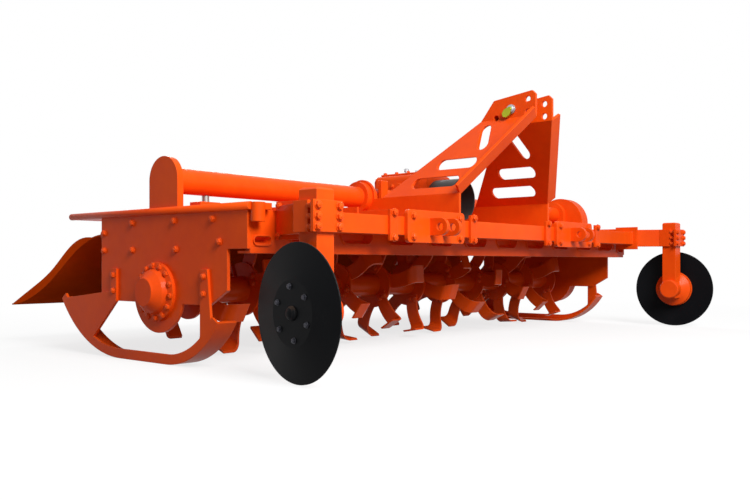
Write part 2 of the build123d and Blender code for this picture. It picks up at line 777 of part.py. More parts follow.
leg_low_z = disc_r - hub_body_r
arm_foot_x = bar_half_len + sleeve_t
spindle_from = disc_t / 2 + hub_flange_t
housing_from = spindle_from + hub_gap
hub_profile = (  # radius, distance inboard of the disc's middle
    (0, housing_from + spindle_len + hub_gap),
    (spindle_r + running_gap, housing_from + spindle_len + hub_gap),
    (spindle_r + running_gap, housing_from),
    (hub_mouth_r, housing_from),
    (hub_mouth_r, housing_from + hub_taper / 2),
    (hub_body_r, housing_from + hub_taper),
    (hub_body_r, housing_from + hub_len - hub_gap),
    (hub_body_r - hub_gap, housing_from + hub_len),
    (0, housing_from + hub_len),
)
disc_profile = (  # radius, distance inboard of the disc's middle
    (0, -disc_t / 2),
    (disc_flat_r, -disc_t / 2),
    (disc_r, disc_dish),
    (disc_r, disc_dish + disc_t / 2),
    (disc_flat_r, disc_t / 2),
    (0, disc_t / 2),
)
for side, sign in SIDES:
    outward = Vector(sign * cos(radians(disc_toe)), sin(radians(disc_toe)), 0)
    disc_centre = Vector(sign * leg_x, leg_y, disc_r) + outward * leg_offset
    turn_axis = Axis(disc_centre, outward)
    section = Plane(disc_centre, x_dir=(0, 0, 1), z_dir=outward.cross(Vector(0, 0, 1)))
    with BuildPart() as disc:
        with BuildSketch(section):
            with BuildLine():
                Polyline(*disc_profile, close=True)
            make_face()
        revolve(axis=turn_axis)
    disc.part.label = f"edge_disc_{side}"
    export_step(disc.part, f"parts/edge_disc_{side}.step")

    hub_plane = Plane(disc_centre, x_dir=(0, 0, 1), z_dir=outward).offset(-disc_t / 2)
    with BuildPart() as hub:
        with BuildSketch(hub_plane):
            Circle(hub_flange_r)
        extrude(amount=-hub_flange_t)
        with BuildSketch(hub_plane.offset(-hub_flange_t)):
            Circle(spindle_r)
        extrude(amount=-hub_gap - spindle_len)
    hub.part.label = f"disc_hub_{side}"
    export_step(hub.part, f"parts/disc_hub_{side}.step")

    # Square leg with a closed top and the hub's bell-shaped housing through its foot.
    with BuildPart() as leg:
        with BuildSketch(Plane.XY.offset(leg_low_z)):
            with Locations((sign * leg_x, leg_y)):
                Rectangle(leg_w, leg_w)
        extrude(amount=arm_low_z + arm_h + leg_top - leg_low_z)
        chamfer(leg.faces().sort_by(Axis.Z)[-1].edges(), leg_wall)
        with BuildSketch(Plane.XY.offset(leg_low_z)):
            with Locations((sign * leg_x, leg_y)):
                Rectangle(leg_w - 2 * leg_wall, leg_w - 2 * leg_wall)
        extrude(amount=arm_low_z + arm_h + leg_top - 2 * leg_wall - leg_low_z, mode=Mode.SUBTRACT)
        with BuildSketch(section):
            with BuildLine():
                Polyline(*hub_profile, close=True)
            make_face()
        revolve(axis=turn_axis)
        with BuildSketch(hub_plane.offset(-hub_flange_t - hub_gap)):
            Circle(spindle_r + running_gap)
        extrude(amount=-spindle_len - hub_gap, mode=Mode.SUBTRACT)
    leg.part.label = f"disc_leg_{side}"
    export_step(leg.part, f"parts/disc_leg_{side}.step")

    # Arm: a foot plate on the toolbar's end, a box-section arm and a sleeve round the leg.
    arm_from = Vector(sign * arm_foot_x, bar_mid_y, arm_low_z)
    arm_to = Vector(sign * leg_x, leg_y, arm_low_z)
    arm_plane = Plane(arm_from, x_dir=arm_to - arm_from, z_dir=(0, 0, 1))
    arm_len = (arm_to - arm_from).length
    with BuildPart() as arm:
        with BuildSketch(arm_plane):
            Rectangle(2 * arm_len, arm_w)
        extrude(amount=arm_h)
        with BuildSketch(arm_plane.offset(arm_wall)):
            Rectangle(2 * arm_len, arm_w - 2 * arm_wall)
        extrude(amount=arm_h - 2 * arm_wall, mode=Mode.SUBTRACT)
        with BuildSketch(Plane.YZ.offset(sign * arm_foot_x)):
            with Locations((bar_mid_y, bar_mid_z)):
                Rectangle(4 * arm_forward, 2 * arm_h)
        extrude(amount=-sign * 2 * arm_len, mode=Mode.SUBTRACT)
        with BuildSketch(Plane.YZ.offset(sign * arm_foot_x)):
            with Locations((bar_mid_y, bar_mid_z)):
                Rectangle(arm_foot_h, arm_foot_h)
        extrude(amount=-sign * sleeve_t)
        with BuildSketch(Plane.XY.offset(arm_low_z)):
            with Locations((sign * leg_x, leg_y + leg_clamp_gap / 2 + sleeve_t / 2)):
                Rectangle(sleeve_w, leg_w - leg_clamp_gap + sleeve_t)
        extrude(amount=arm_h)
        with BuildSketch(Plane.XY.offset(arm_low_z)):
            with Locations((sign * leg_x, leg_y)):
                Rectangle(leg_w, leg_w)
        extrude(amount=arm_h, mode=Mode.SUBTRACT)
    arm.part.label = f"disc_arm_{side}"
    export_step(arm.part, f"parts/disc_arm_{side}.step")

    # Clamp plate on the leg's front face, bolted to the sleeve past the leg's sides.
    clamp_y = leg_y - leg_w / 2
    with BuildPart() as leg_clamp:
        with BuildSketch(Plane.XZ.offset(-clamp_y)):
            with Locations((sign * leg_x, bar_mid_z)):
                Rectangle(leg_clamp_w, arm_h)
        extrude(amount=sleeve_t)
        with BuildSketch(Plane.XZ.offset(-clamp_y + sleeve_t + leg_bolt_r)):
            with Locations((sign * leg_x, bar_mid_z)):
                with GridLocations(leg_w + 2 * leg_bolt_r + 2, arm_h / leg_bolt_count, 2, leg_bolt_count):
                    Circle(leg_bolt_r)
        extrude(amount=-sleeve_t - leg_bolt_r - leg_clamp_gap)
    leg_clamp.part.label = f"leg_clamp_{side}"
    export_step(leg_clamp.part, f"parts/leg_clamp_{side}.step")

# ================= Levelling board =================

board_half_len = plate_outer_x - board_end_gap
board_points = [(hinge_y + back, hinge_z - drop) for back, drop in board_shape]
rib_crest = [(y + board_rib_h / 3, z + board_rib_h) for y, z in board_points[2:-1]]
rib_step = (2 * board_half_len - board_rib_t) / (board_rib_count - 1)
ear_step = (2 * plate_inner_x - hinge_ear_t) / (hinge_ear_count - 1)
ear_planes = [
    Plane.YZ.offset(i * ear_step - plate_inner_x) for i in range(hinge_ear_count)
]
with BuildPart() as board:
    with BuildSketch(Plane.YZ.offset(-board_half_len)):
        with BuildLine():
            Spline(*board_points)
        trace(line_width=board_t)
        with Locations((hinge_y, hinge_z)):
            Circle(knuckle_r)
            Rectangle(2 * knuckle_r, board_t, align=(Align.MIN, Align.MAX))
            Circle(hinge_rod_r + hinge_fit, mode=Mode.SUBTRACT)
    extrude(amount=2 * board_half_len)
    for ear_plane in ear_planes:
        with BuildSketch(ear_plane.offset(-hinge_end_play)):
            with Locations((hinge_y, hinge_z)):
                Circle(knuckle_r + 2 * hinge_end_play)
        extrude(amount=hinge_ear_t + 2 * hinge_end_play, mode=Mode.SUBTRACT)
    for i in range(board_rib_count):
        with BuildSketch(Plane.YZ.offset(i * rib_step - board_half_len)):
            with BuildLine():
                Spline(*board_points[1:])
                Spline(board_points[1], *rib_crest, board_points[-1])
            make_face()
        extrude(amount=board_rib_t)
board.part.label = "levelling_board"
export_step(board.part, "parts/levelling_board.step")

with BuildPart() as hinge_rod:
    with BuildSketch(Plane.YZ.offset(-plate_inner_x)):
        with Locations((hinge_y, hinge_z)):
            Circle(hinge_rod_r)
    extrude(amount=2 * plate_inner_x)
hinge_rod.part.label = "board_hinge_rod"
export_step(hinge_rod.part, "parts/board_hinge_rod.step")

# Ears under the hood's rear edge, between the board's knuckles.
hood_end = Vector(plate_rear_y - hood_hinge_gap, hinge_z)
hood_dir = (hood_end - Vector(hood_bend_y, plate_top_z - hood_t / 2)).normalized()
under_end = hood_end + Vector(hood_dir.Y, -hood_dir.X) * hood_t / 2
under_start = under_end - hood_dir * hinge_ear_grip
with BuildPart() as hinge_ears:
    for ear_plane in ear_planes:
        with BuildSketch(ear_plane):
            with BuildLine():
                Polyline(
                    under_start,
                    under_end,
                    (hinge_y, hinge_z),
                    (hinge_y, hinge_z - knuckle_r),
                    (under_start.X, under_end.Y - knuckle_r),
                    close=True,
                )
            make_face()
            with Locations((hinge_y, hinge_z)):
                Circle(knuckle_r)
                Circle(hinge_rod_r + hinge_fit, mode=Mode.SUBTRACT)
        extrude(amount=hinge_ear_t)
hinge_ears.part.label = "hinge_ears"
export_step(hinge_ears.part, "parts/hinge_ears.step")
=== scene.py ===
"""Dresses the rotavator: paint, bolts, welds and small fittings on the solids of the machine."""

import json
import math

import bmesh
import bpy
from bpy.props import FloatProperty, FloatVectorProperty, IntProperty, PointerProperty
from mathutils import Matrix, Vector


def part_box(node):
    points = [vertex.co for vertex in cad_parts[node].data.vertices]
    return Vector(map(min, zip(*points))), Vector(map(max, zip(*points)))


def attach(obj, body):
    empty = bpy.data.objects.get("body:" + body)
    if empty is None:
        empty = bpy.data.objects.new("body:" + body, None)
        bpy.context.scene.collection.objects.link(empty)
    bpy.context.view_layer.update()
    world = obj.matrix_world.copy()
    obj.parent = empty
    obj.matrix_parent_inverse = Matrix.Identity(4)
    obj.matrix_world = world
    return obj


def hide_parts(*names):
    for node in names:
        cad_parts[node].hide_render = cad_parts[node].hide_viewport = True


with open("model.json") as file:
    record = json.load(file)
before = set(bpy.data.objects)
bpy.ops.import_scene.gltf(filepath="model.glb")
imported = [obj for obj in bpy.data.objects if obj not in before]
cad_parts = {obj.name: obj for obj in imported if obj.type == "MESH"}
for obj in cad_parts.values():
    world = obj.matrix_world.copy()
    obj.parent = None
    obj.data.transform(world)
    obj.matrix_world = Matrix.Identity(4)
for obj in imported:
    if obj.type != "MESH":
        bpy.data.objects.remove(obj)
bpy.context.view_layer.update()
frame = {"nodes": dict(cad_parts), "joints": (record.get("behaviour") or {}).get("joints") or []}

bl_info = {
    "name": "Rotavator Dressing",
    "version": (1, 0, 0),
    "blender": (4, 5, 0),
    "location": "View3D > Sidebar > Rotavator",
    "description": "Paint, bolts, welds and fittings for a tractor-mounted rotavator",
    "category": "Object",
}

SIDES = (("right", -1), ("left", 1))
JOINTS = {joint["name"]: joint for joint in frame["joints"]}
ROTOR_AXIS = Vector(JOINTS["rotor_spin"]["pos_m"])
PTO_START = Vector(JOINTS["pto_spin"]["pos_m"])

ENAMEL = "Orange Enamel"
CAST = "Orange Enamel on Castings"
BLADE = "Orange Enamel on Blades"
DULL = "Dull Orange Enamel"
DISC = "Black Disc Enamel"
STEEL = "Turned Steel"
ZINC = "Zinc Plated Steel"
DARK_STEEL = "Blackened Steel"
PLASTIC = "Black Guard Plastic"
TAG = "Yellow Green Tag"
FLOOR = "Pale Floor"

FINISHES = {  # the other nodes are painted with the plain enamel
    CAST: ("gearbox_housing", "side_drive_case_left", "bearing_housing_right", "tube_foot_blocks"),
    DULL: ("levelling_board", "hood_shell"),
    BLADE: ("rotor_blades_left_facing", "rotor_blades_right_facing"),
    DISC: ("edge_disc_left", "edge_disc_right"),
    STEEL: ("pto_shaft", "tube_jack_pins", "board_hinge_rod"),
    ZINC: ("mast_pin",),
    PLASTIC: ("pto_guard",),
}

COAT, EDGES, DUST, LINES = "Sprayed Coat", "Edge Wear", "Settled Dust", "Fine Scratches"

SQUARE = ((-1, -1), (1, -1), (1, 1), (-1, 1))
# Turned shapes: (radius, distance along the axis) from end to end.
DISC_CAP = ((0.0, 0.0), (0.021, 0.0), (0.021, 0.004), (0.016, 0.011), (0.007, 0.015), (0.0, 0.016))
PIN_HEAD = ((0.0, -0.001), (0.016, -0.001), (0.016, 0.005), (0.011, 0.008), (0.0, 0.009))
PLUG = ((0.0, 0.0), (0.016, 0.0), (0.016, 0.004), (0.011, 0.005), (0.011, 0.013), (0.0, 0.014))
BREATHER = ((0.0, 0.0), (0.012, 0.0), (0.012, 0.009), (0.008, 0.010), (0.008, 0.020),
            (0.013, 0.021), (0.013, 0.030), (0.009, 0.035), (0.0, 0.036))


# ---------------------------------------------------------------- settings


def colour_setting(name, description, default):
    """A colour that the panel shows."""
    return FloatVectorProperty(
        name=name, description=description, subtype="COLOR", default=default, min=0.0, max=1.0
    )


def number_setting(name, description, default, low, high, **kind):
    """A number that the panel shows."""
    return FloatProperty(
        name=name, description=description, default=default, min=low, max=high, **kind
    )


def length_setting(name, description, default, low, high):
    """A length in metres that the panel shows."""
    return number_setting(name, description, default, low, high, unit="LENGTH")


def power_setting(name, description, default):
    """A lamp's power in watts that the panel shows."""
    return FloatProperty(
        name=name, description=description, default=default, min=0.0, unit="POWER"
    )


class RotavatorPaint(bpy.types.PropertyGroup):
    """Colours and wear of the machine's finishes."""

    enamel: colour_setting("Enamel", "Orange enamel on the sheet metal", (0.90, 0.100, 0.004))
    enamel_deep: colour_setting(
        "Deep Enamel", "Enamel where it has run thick or lies in a corner", (0.70, 0.052, 0.003)
    )
    enamel_thin: colour_setting(
        "Thin Enamel", "Paler enamel along the edges, where the coat is thin", (0.93, 0.17, 0.03)
    )
    black: colour_setting(
        "Disc Black", "Satin black on the edge discs", (0.0030, 0.0033, 0.0042)
    )
    steel: colour_setting("Bare Steel", "Turned steel of the shafts and pins", (0.42, 0.41, 0.39))
    tag: colour_setting(
        "Pin Tag", "Yellow-green plating on the mast pin's tags", (0.42, 0.46, 0.03)
    )
    dust: colour_setting("Dust", "Thin dust on faces that look up", (0.44, 0.25, 0.14))
    dust_amount: number_setting(
        "Dust Amount", "Share of the dust's colour on a level face", 0.1, 0.0, 1.0, subtype="FACTOR"
    )
    wear_width: length_setting(
        "Wear Width", "Width of the thin paint along an edge", 0.003, 0.0005, 0.02
    )


class RotavatorHardware(bpy.types.PropertyGroup):
    """Sizes of the bolts, welds and fittings."""

    head_width: length_setting(
        "Head Width", "Distance across the corners of a standard bolt head", 0.027, 0.005, 0.08
    )
    head_height: length_setting(
        "Head Height", "Height of a standard bolt head", 0.010, 0.002, 0.05
    )
    washer_width: length_setting(
        "Washer Width", "Diameter of the washer under a standard head", 0.032, 0.005, 0.1
    )
    washer_height: length_setting(
        "Washer Height", "Thickness of the washer under a standard head", 0.0028, 0.0005, 0.01
    )
    weld_radius: length_setting("Weld Radius", "Radius of a weld bead", 0.0055, 0.001, 0.02)
    weld_pitch: length_setting(
        "Weld Pitch", "Length of one ripple of a weld bead", 0.006, 0.002, 0.05
    )
    spline_count: IntProperty(
        name="Splines",
        description="Number of splines on the shaft that takes the tractor's drive",
        default=6,
        min=4,
        max=24,
    )


class RotavatorStage(bpy.types.PropertyGroup):
    """Camera, floor and lamps."""

    camera_place: FloatVectorProperty(
        name="Camera Place",
        description="Where the camera stands",
        subtype="TRANSLATION",
        unit="LENGTH",
        default=(-3.0247, -2.4559, 0.342),
    )
    camera_turn: FloatProperty(
        name="Camera Turn",
        description="Turn of the camera's view from the machine's left, about the upright",
        subtype="ANGLE",
        default=math.radians(40.382),
    )
    camera_lens: number_setting(
        "Lens", "Focal length on a 36 mm wide sensor, in millimetres", 39.384, 10.0, 200.0
    )
    camera_shift: number_setting(
        "Shift", "Upward shift of the view, in widths", 0.0165333333, -0.5, 0.5
    )
    key_watts: power_setting("Key Lamp", "Power of the soft lamp in front", 480.0)
    back_watts: power_setting("Back Lamp", "Power of the soft lamp behind", 240.0)
    ambient: number_setting(
        "Ambient", "Strength of the even light from all round", 0.26, 0.0, 2.0, subtype="FACTOR"
    )


# ---------------------------------------------------------------- node helpers

FLOAT = "NodeSocketFloat"
VECTOR = "NodeSocketVector"
GEOMETRY = "NodeSocketGeometry"


def feed(tree, value, socket):
    """Gives an input a link, or a plain value; a colour has three parts."""
    if isinstance(value, bpy.types.NodeSocket):
        tree.links.new(value, socket)
    elif socket.type == "RGBA":
        socket.default_value = (*value, 1.0)
    else:
        socket.default_value = value


def add_node(tree, kind, inputs=None, **settings):
    """Adds a node with its settings and feeds its inputs, given by name or number."""
    node = tree.nodes.new(kind)
    for name, value in settings.items():
        setattr(node, name, value)
    for key, value in (inputs or {}).items():
        feed(tree, value, node.inputs[key])
    return node


def new_group(name, inputs, outputs, kind="ShaderNodeTree"):
    """An empty group with (name, socket type, default) inputs and (name, socket type) outputs."""
    group = bpy.data.node_groups.new(name, kind)
    for label, socket_type, default in inputs:
        socket = group.interface.new_socket(label, in_out="INPUT", socket_type=socket_type)
        if default is not None:
            socket.default_value = default
    for label, socket_type in outputs:
        group.interface.new_socket(label, in_out="OUTPUT", socket_type=socket_type)
    given = group.nodes.new("NodeGroupInput").outputs
    return group, given, group.nodes.new("NodeGroupOutput").inputs


def maths(tree, operation, *values, clamp=False):
    """A Math node fed by sockets or numbers; returns its output."""
    inputs = dict(enumerate(values))
    node = add_node(tree, "ShaderNodeMath", inputs, operation=operation, use_clamp=clamp)
    return node.outputs[0]


def object_place(tree):
    """The place of a point in its object's own coordinates."""
    return tree.nodes.new("ShaderNodeTexCoord").outputs["Object"]


def noise_texture(tree, place, scale, detail=3.0, roughness=0.5):
    """A Noise Texture read at a place; returns its factor."""
    inputs = {"Vector": place, "Scale": scale, "Detail": detail, "Roughness": roughness}
    return add_node(tree, "ShaderNodeTexNoise", inputs).outputs["Fac"]


def blend_colour(tree, amount, low, high):
    """Mixes two colours, each a socket or a plain colour; returns the result."""
    settings = {"data_type": "RGBA", "clamp_factor": True}
    node = add_node(tree, "ShaderNodeMix", {"Factor": amount}, **settings)
    colours = [socket for socket in node.inputs if socket.type == "RGBA"]
    feed(tree, low, colours[0])
    feed(tree, high, colours[1])
    return next(socket for socket in node.outputs if socket.type == "RGBA")


def value_range(tree, value, low, high, start=0.0, end=1.0):
    """Maps start..end to low..high; returns the output."""
    inputs = {"Value": value, "From Min": start, "From Max": end, "To Min": low, "To Max": high}
    return add_node(tree, "ShaderNodeMapRange", inputs).outputs["Result"]


def seen_rays(tree):
    """1 on rays that are seen: straight, in a reflection or through something clear."""
    rays = tree.nodes.new("ShaderNodeLightPath").outputs
    mirrored = maths(tree, "MAXIMUM", rays["Is Camera Ray"], rays["Is Glossy Ray"])
    return maths(tree, "MAXIMUM", mirrored, rays["Is Transmission Ray"])


# ---------------------------------------------------------------- shader groups


def edge_wear_group():
    """Mask of the edges, where paint thins, broken up by noise, with a softly rounded normal."""
    group, given, result = new_group(
        EDGES,
        (("Width", FLOAT, 0.003), ("Breakup", FLOAT, 0.5)),
        (("Mask", FLOAT), ("Normal", VECTOR)),
    )
    edge_gain, patch_gain, cover = 5.0, 3.0, 0.75
    place = object_place(group)
    bevel = add_node(group, "ShaderNodeBevel", {"Radius": given["Width"]}, samples=6)
    rounded = bevel.outputs["Normal"]
    flat = group.nodes.new("ShaderNodeNewGeometry").outputs["Normal"]
    align = add_node(group, "ShaderNodeVectorMath", {0: rounded, 1: flat}, operation="DOT_PRODUCT")
    turned = maths(group, "SUBTRACT", 1.0, align.outputs["Value"], clamp=True)
    sharp = maths(group, "MULTIPLY", turned, edge_gain, clamp=True)
    patches = noise_texture(group, place, 38.0, 4.0, 0.6)
    centred = maths(group, "SUBTRACT", patches, 0.5)
    spread = maths(group, "MULTIPLY", centred, patch_gain)
    varied = maths(group, "MULTIPLY", spread, given["Breakup"])
    broken = maths(group, "ADD", varied, cover, clamp=True)
    mask = maths(group, "MULTIPLY", sharp, broken, clamp=True)
    feed(group, mask, result["Mask"])
    feed(group, rounded, result["Normal"])
    return group


def settled_dust_group():
    """Mask of thin dust on faces that look up, in soft drifts."""
    group, given, result = new_group(
        DUST,
        (("Amount", FLOAT, 0.2), ("Drift Scale", FLOAT, 6.0)),
        (("Mask", FLOAT),),
    )
    steepest, clean_share = 0.35, 0.45
    place = object_place(group)
    normal = group.nodes.new("ShaderNodeNewGeometry").outputs["Normal"]
    parts = add_node(group, "ShaderNodeSeparateXYZ", {0: normal})
    level = maths(group, "SUBTRACT", parts.outputs["Z"], steepest, clamp=True)
    drift = noise_texture(group, place, given["Drift Scale"], 5.0)
    specks = noise_texture(group, place, 160.0, 3.0, 0.7)
    rough = maths(group, "ADD", drift, specks)
    drifts = maths(group, "SUBTRACT", rough, clean_share, clamp=True)
    scaled = maths(group, "MULTIPLY", drifts, given["Amount"])
    mask = maths(group, "MULTIPLY", scaled, level, clamp=True)
    feed(group, mask, result["Mask"])
    return group


def sprayed_coat_group():
    """Height and tone of sprayed enamel: orange peel, a casting's skin and slow changes."""
    group, given, result = new_group(
        COAT,
        (("Peel Scale", FLOAT, 260.0), ("Casting", FLOAT, 0.0)),
        (("Height", FLOAT), ("Tone", FLOAT), ("Gloss Change", FLOAT)),
    )
    sand_share, peel_share, slow_share, medium_share = 0.6, 0.45, 0.7, 0.3
    place = object_place(group)
    peel = noise_texture(group, place, given["Peel Scale"], 2.0)
    sand = noise_texture(group, place, 620.0, 5.0, 0.75)
    lumps = noise_texture(group, place, 70.0, 4.0, 0.6)
    rough_cast = maths(group, "ADD", maths(group, "MULTIPLY", sand, sand_share), lumps)
    cast_part = maths(group, "MULTIPLY", rough_cast, given["Casting"])
    peel_part = maths(group, "MULTIPLY", peel, peel_share)
    slow = noise_texture(group, place, 3.2, 4.0, 0.55)
    medium = noise_texture(group, place, 19.0, 3.0, 0.6)
    slow_part = maths(group, "MULTIPLY", slow, slow_share)
    medium_part = maths(group, "MULTIPLY", medium, medium_share)
    feed(group, maths(group, "ADD", peel_part, cast_part), result["Height"])
    feed(group, maths(group, "ADD", slow_part, medium_part), result["Tone"])
    feed(group, medium, result["Gloss Change"])
    return group


def scratches_group():
    """Mask of fine straight scratches that run along one axis."""
    group, given, result = new_group(
        LINES,
        (("Stretch", VECTOR, (1.0, 1.0, 1.0)), ("Density", FLOAT, 0.5)),
        (("Mask", FLOAT),),
    )
    threshold, density_reach, line_gain = 0.42, 0.25, 6.0
    place = object_place(group)
    stretched = add_node(
        group, "ShaderNodeVectorMath", {0: place, 1: given["Stretch"]}, operation="MULTIPLY"
    )
    lines = noise_texture(group, stretched.outputs[0], 60.0, 6.0, 0.7)
    sparse = noise_texture(group, place, 12.0, 2.0, 0.5)
    joined = maths(group, "MULTIPLY", lines, sparse)
    reach = maths(group, "MULTIPLY", given["Density"], density_reach)
    lowered = maths(group, "SUBTRACT", threshold, reach)
    lifted = maths(group, "SUBTRACT", joined, lowered, clamp=True)
    mask = maths(group, "MULTIPLY", lifted, line_gain, clamp=True)
    feed(group, mask, result["Mask"])
    return group


GROUP_MAKERS = {
    EDGES: edge_wear_group,
    DUST: settled_dust_group,
    COAT: sprayed_coat_group,
    LINES: scratches_group,
}


def shared_group(tree, name, inputs=None):
    """Places a shared effect in a material, building it on first use."""
    group = bpy.data.node_groups.get(name) or GROUP_MAKERS[name]()
    return add_node(tree, "ShaderNodeGroup", inputs, node_tree=group).outputs


# ---------------------------------------------------------------- materials


def new_material(name):
    """A new material's tree and its Principled BSDF."""
    material = bpy.data.materials.new(name)
    material.use_nodes = True
    return material.node_tree, material.node_tree.nodes["Principled BSDF"]


def coated_material(name, effects, tones, layers, gloss, bump, extras, spread=None):
    """A material made of the shared effects.

    effects gives each effect's inputs. tones are the coat's two colours, mixed by its tone, which
    spread stretches. layers are (effect, share, colour), laid on in turn. gloss is the range of
    the roughness. bump is (strength, distance, effect, output). extras are the shader's other
    inputs.
    """
    tree, shader = new_material(name)
    made = {effect: shared_group(tree, effect, inputs) for effect, inputs in effects.items()}
    tone = made[COAT]["Tone"]
    colour = blend_colour(tree, value_range(tree, tone, *spread) if spread else tone, *tones)
    for effect, share, layer in layers:
        mask = made[effect]["Mask"]
        amount = mask if share == 1.0 else maths(tree, "MULTIPLY", mask, share)
        colour = blend_colour(tree, amount, colour, layer)
    roughness = value_range(tree, made[COAT]["Gloss Change"], *gloss)
    if spread:  # dust dulls the enamel
        roughness = maths(tree, "ADD", roughness, made[DUST]["Mask"], clamp=True)
    strength, distance, effect, output = bump
    height = {"Strength": strength, "Distance": distance, "Height": made[effect][output]}
    bumped = add_node(tree, "ShaderNodeBump", {**height, "Normal": made[EDGES]["Normal"]})
    inputs = {"Base Color": colour, "Roughness": roughness, "Normal": bumped.outputs["Normal"]}
    for label, value in {**inputs, **extras}.items():
        feed(tree, value, shader.inputs[label])


def finishes(paint):
    """All the machine's materials, built once."""
    if bpy.data.materials.get(ENAMEL):
        return
    dusty = (DUST, 1.0, paint.dust)
    for name, casting, gloss, wear, rubbed, shine in (
        (ENAMEL, 0.0, (0.30, 0.46), 0.45, 0.0, 0.07),
        (CAST, 0.5, (0.36, 0.52), 0.3, 0.0, 0.07),
        (DULL, 0.0, (0.55, 0.7), 0.4, 0.0, 0.0),
        (BLADE, 0.0, (0.24, 0.38), 0.5, 0.12, 0.07),
    ):
        effects = {
            COAT: {"Casting": casting},
            EDGES: {"Width": paint.wear_width, "Breakup": 0.5},
            DUST: {"Amount": paint.dust_amount},
        }
        bare = [(EDGES, rubbed, paint.steel)] if rubbed else []
        layers = [(EDGES, wear, paint.enamel_thin), *bare, dusty]
        clear = {"Coat Weight": shine, "Coat Roughness": 0.18, "Coat IOR": 1.5}
        coated_material(
            name, effects, (paint.enamel_deep, paint.enamel), layers, gloss,
            (0.35, 0.0012, COAT, "Height"), {"Specular IOR Level": shine, **clear}, (-0.5, 1.3)
        )
    scratch_grey, rim_grey, worn_black = (0.018,) * 3, (0.09, 0.085, 0.08), (0.0065, 0.0068, 0.008)
    effects = {
        COAT: {},
        EDGES: {"Width": 0.004, "Breakup": 0.8},
        DUST: {"Amount": 0.25},
        LINES: {"Stretch": (1.0, 6.0, 1.0), "Density": 0.45},
    }
    layers = [(LINES, 0.25, scratch_grey), (EDGES, 0.5, rim_grey), dusty]
    coated_material(
        DISC, effects, (paint.black, worn_black), layers, (0.26, 0.42),
        (0.3, 0.001, COAT, "Height"), {"Specular IOR Level": 0.04}
    )
    for name, colour, roughness, stretch in (
        (STEEL, paint.steel, 0.34, (1.0, 14.0, 14.0)),
        (ZINC, (0.50, 0.50, 0.52), 0.38, (9.0, 1.0, 9.0)),
        (TAG, paint.tag, 0.35, (6.0, 6.0, 1.0)),
        (DARK_STEEL, (0.045, 0.045, 0.055), 0.36, (1.0, 8.0, 8.0)),
    ):
        dark, bright = ([factor * part for part in colour] for factor in (0.7, 1.7))
        effects = {COAT: {}, EDGES: {"Width": 0.0015}, LINES: {"Stretch": stretch, "Density": 0.8}}
        coated_material(
            name, effects, (dark, colour), [(LINES, 0.4, bright)],
            (roughness - 0.08, roughness + 0.1), (0.15, 0.0005, LINES, "Mask"), {"Metallic": 0.9}
        )
    plastic_dark, plastic_pale, scuff_grey = (0.012,) * 3, (0.028,) * 3, (0.10,) * 3
    effects = {COAT: {"Peel Scale": 480.0}, EDGES: {"Width": 0.002}, DUST: {"Amount": 0.3}}
    layers = [(EDGES, 0.3, scuff_grey), (DUST, 1.0, (0.35, 0.27, 0.2))]
    coated_material(
        PLASTIC, effects, (plastic_dark, plastic_pale), layers, (0.45, 0.62),
        (0.3, 0.001, COAT, "Height"), {}
    )


# ---------------------------------------------------------------- mesh helpers


def place_object(name, mesh):
    """Puts an object with a mesh in the scene, at the origin."""
    piece = bpy.data.objects.new(name, mesh)
    bpy.context.scene.collection.objects.link(piece)
    return piece


def mesh_object(name, build, material):
    """Makes an object from a bmesh builder, with outward faces."""
    mesh = bpy.data.meshes.new(name)
    shape = bmesh.new()
    build(shape)
    bmesh.ops.remove_doubles(shape, verts=shape.verts, dist=1e-6)
    bmesh.ops.recalc_face_normals(shape, faces=shape.faces)
    shape.to_mesh(mesh)
    shape.free()
    mesh.materials.append(bpy.data.materials[material])
    return place_object(name, mesh)


def add_lathe(shape, profile, origin, axis, steps=32):
    """Adds a closed turned shape. profile is (radius, distance along the axis) from end to end."""
    turn = Vector(axis).normalized().to_track_quat("Z", "Y").to_matrix().to_4x4()
    place = Matrix.Translation(Vector(origin)) @ turn
    rings = []
    for radius, along in profile:
        if radius < 1e-6:
            rings.append([shape.verts.new(place @ Vector((0, 0, along)))])
            continue
        ring = []
        for i in range(steps):
            angle = 2 * math.pi * i / steps
            point = Vector((radius * math.cos(angle), radius * math.sin(angle), along))
            ring.append(shape.verts.new(place @ point))
        rings.append(ring)
    for low, high in zip(rings, rings[1:]):
        for i in range(steps):
            j = (i + 1) % steps
            if len(low) == 1 and len(high) > 1:
                shape.faces.new((low[0], high[j], high[i]))
            elif len(high) == 1 and len(low) > 1:
                shape.faces.new((low[i], low[j], high[0]))
            elif len(low) > 1:
                shape.faces.new((low[i], low[j], high[j], high[i]))


def add_prism(shape, outline, start, end):
    """Adds a prism from an outline of points, carried from start to end."""
    shift = Vector(end) - Vector(start)
    low = [shape.verts.new(Vector(point)) for point in outline]
    high = [shape.verts.new(Vector(point) + shift) for point in outline]
    shape.faces.new(low)
    shape.faces.new(list(reversed(high)))
    count = len(outline)
    for i in range(count):
        j = (i + 1) % count
        shape.faces.new((low[i], high[i], high[j], low[j]))


def add_block(shape, low, high):
    """Adds a box between its lowest and highest corner."""
    outline = [(x, y, low[2]) for x, y in (low[:2], (high[0], low[1]), high[:2], (low[0], high[1]))]
    add_prism(shape, outline, (0, 0, 0), (0, 0, high[2] - low[2]))


def bake(piece):
    """Gives an object with modifiers the plain mesh that they make, and removes them."""
    bpy.context.view_layer.update()
    graph = bpy.context.evaluated_depsgraph_get()
    mesh = bpy.data.meshes.new_from_object(piece.evaluated_get(graph), depsgraph=graph)
    piece.modifiers.clear()
    piece.data = mesh
    mesh.name = piece.name


def round_corners(piece, width, segments=2):
    """Bevels a piece's sharp edges for good."""
    bevel = piece.modifiers.new("Rounded Edges", "BEVEL")
    bevel.width = width
    bevel.segments = segments
    bevel.limit_method = "ANGLE"
    bake(piece)


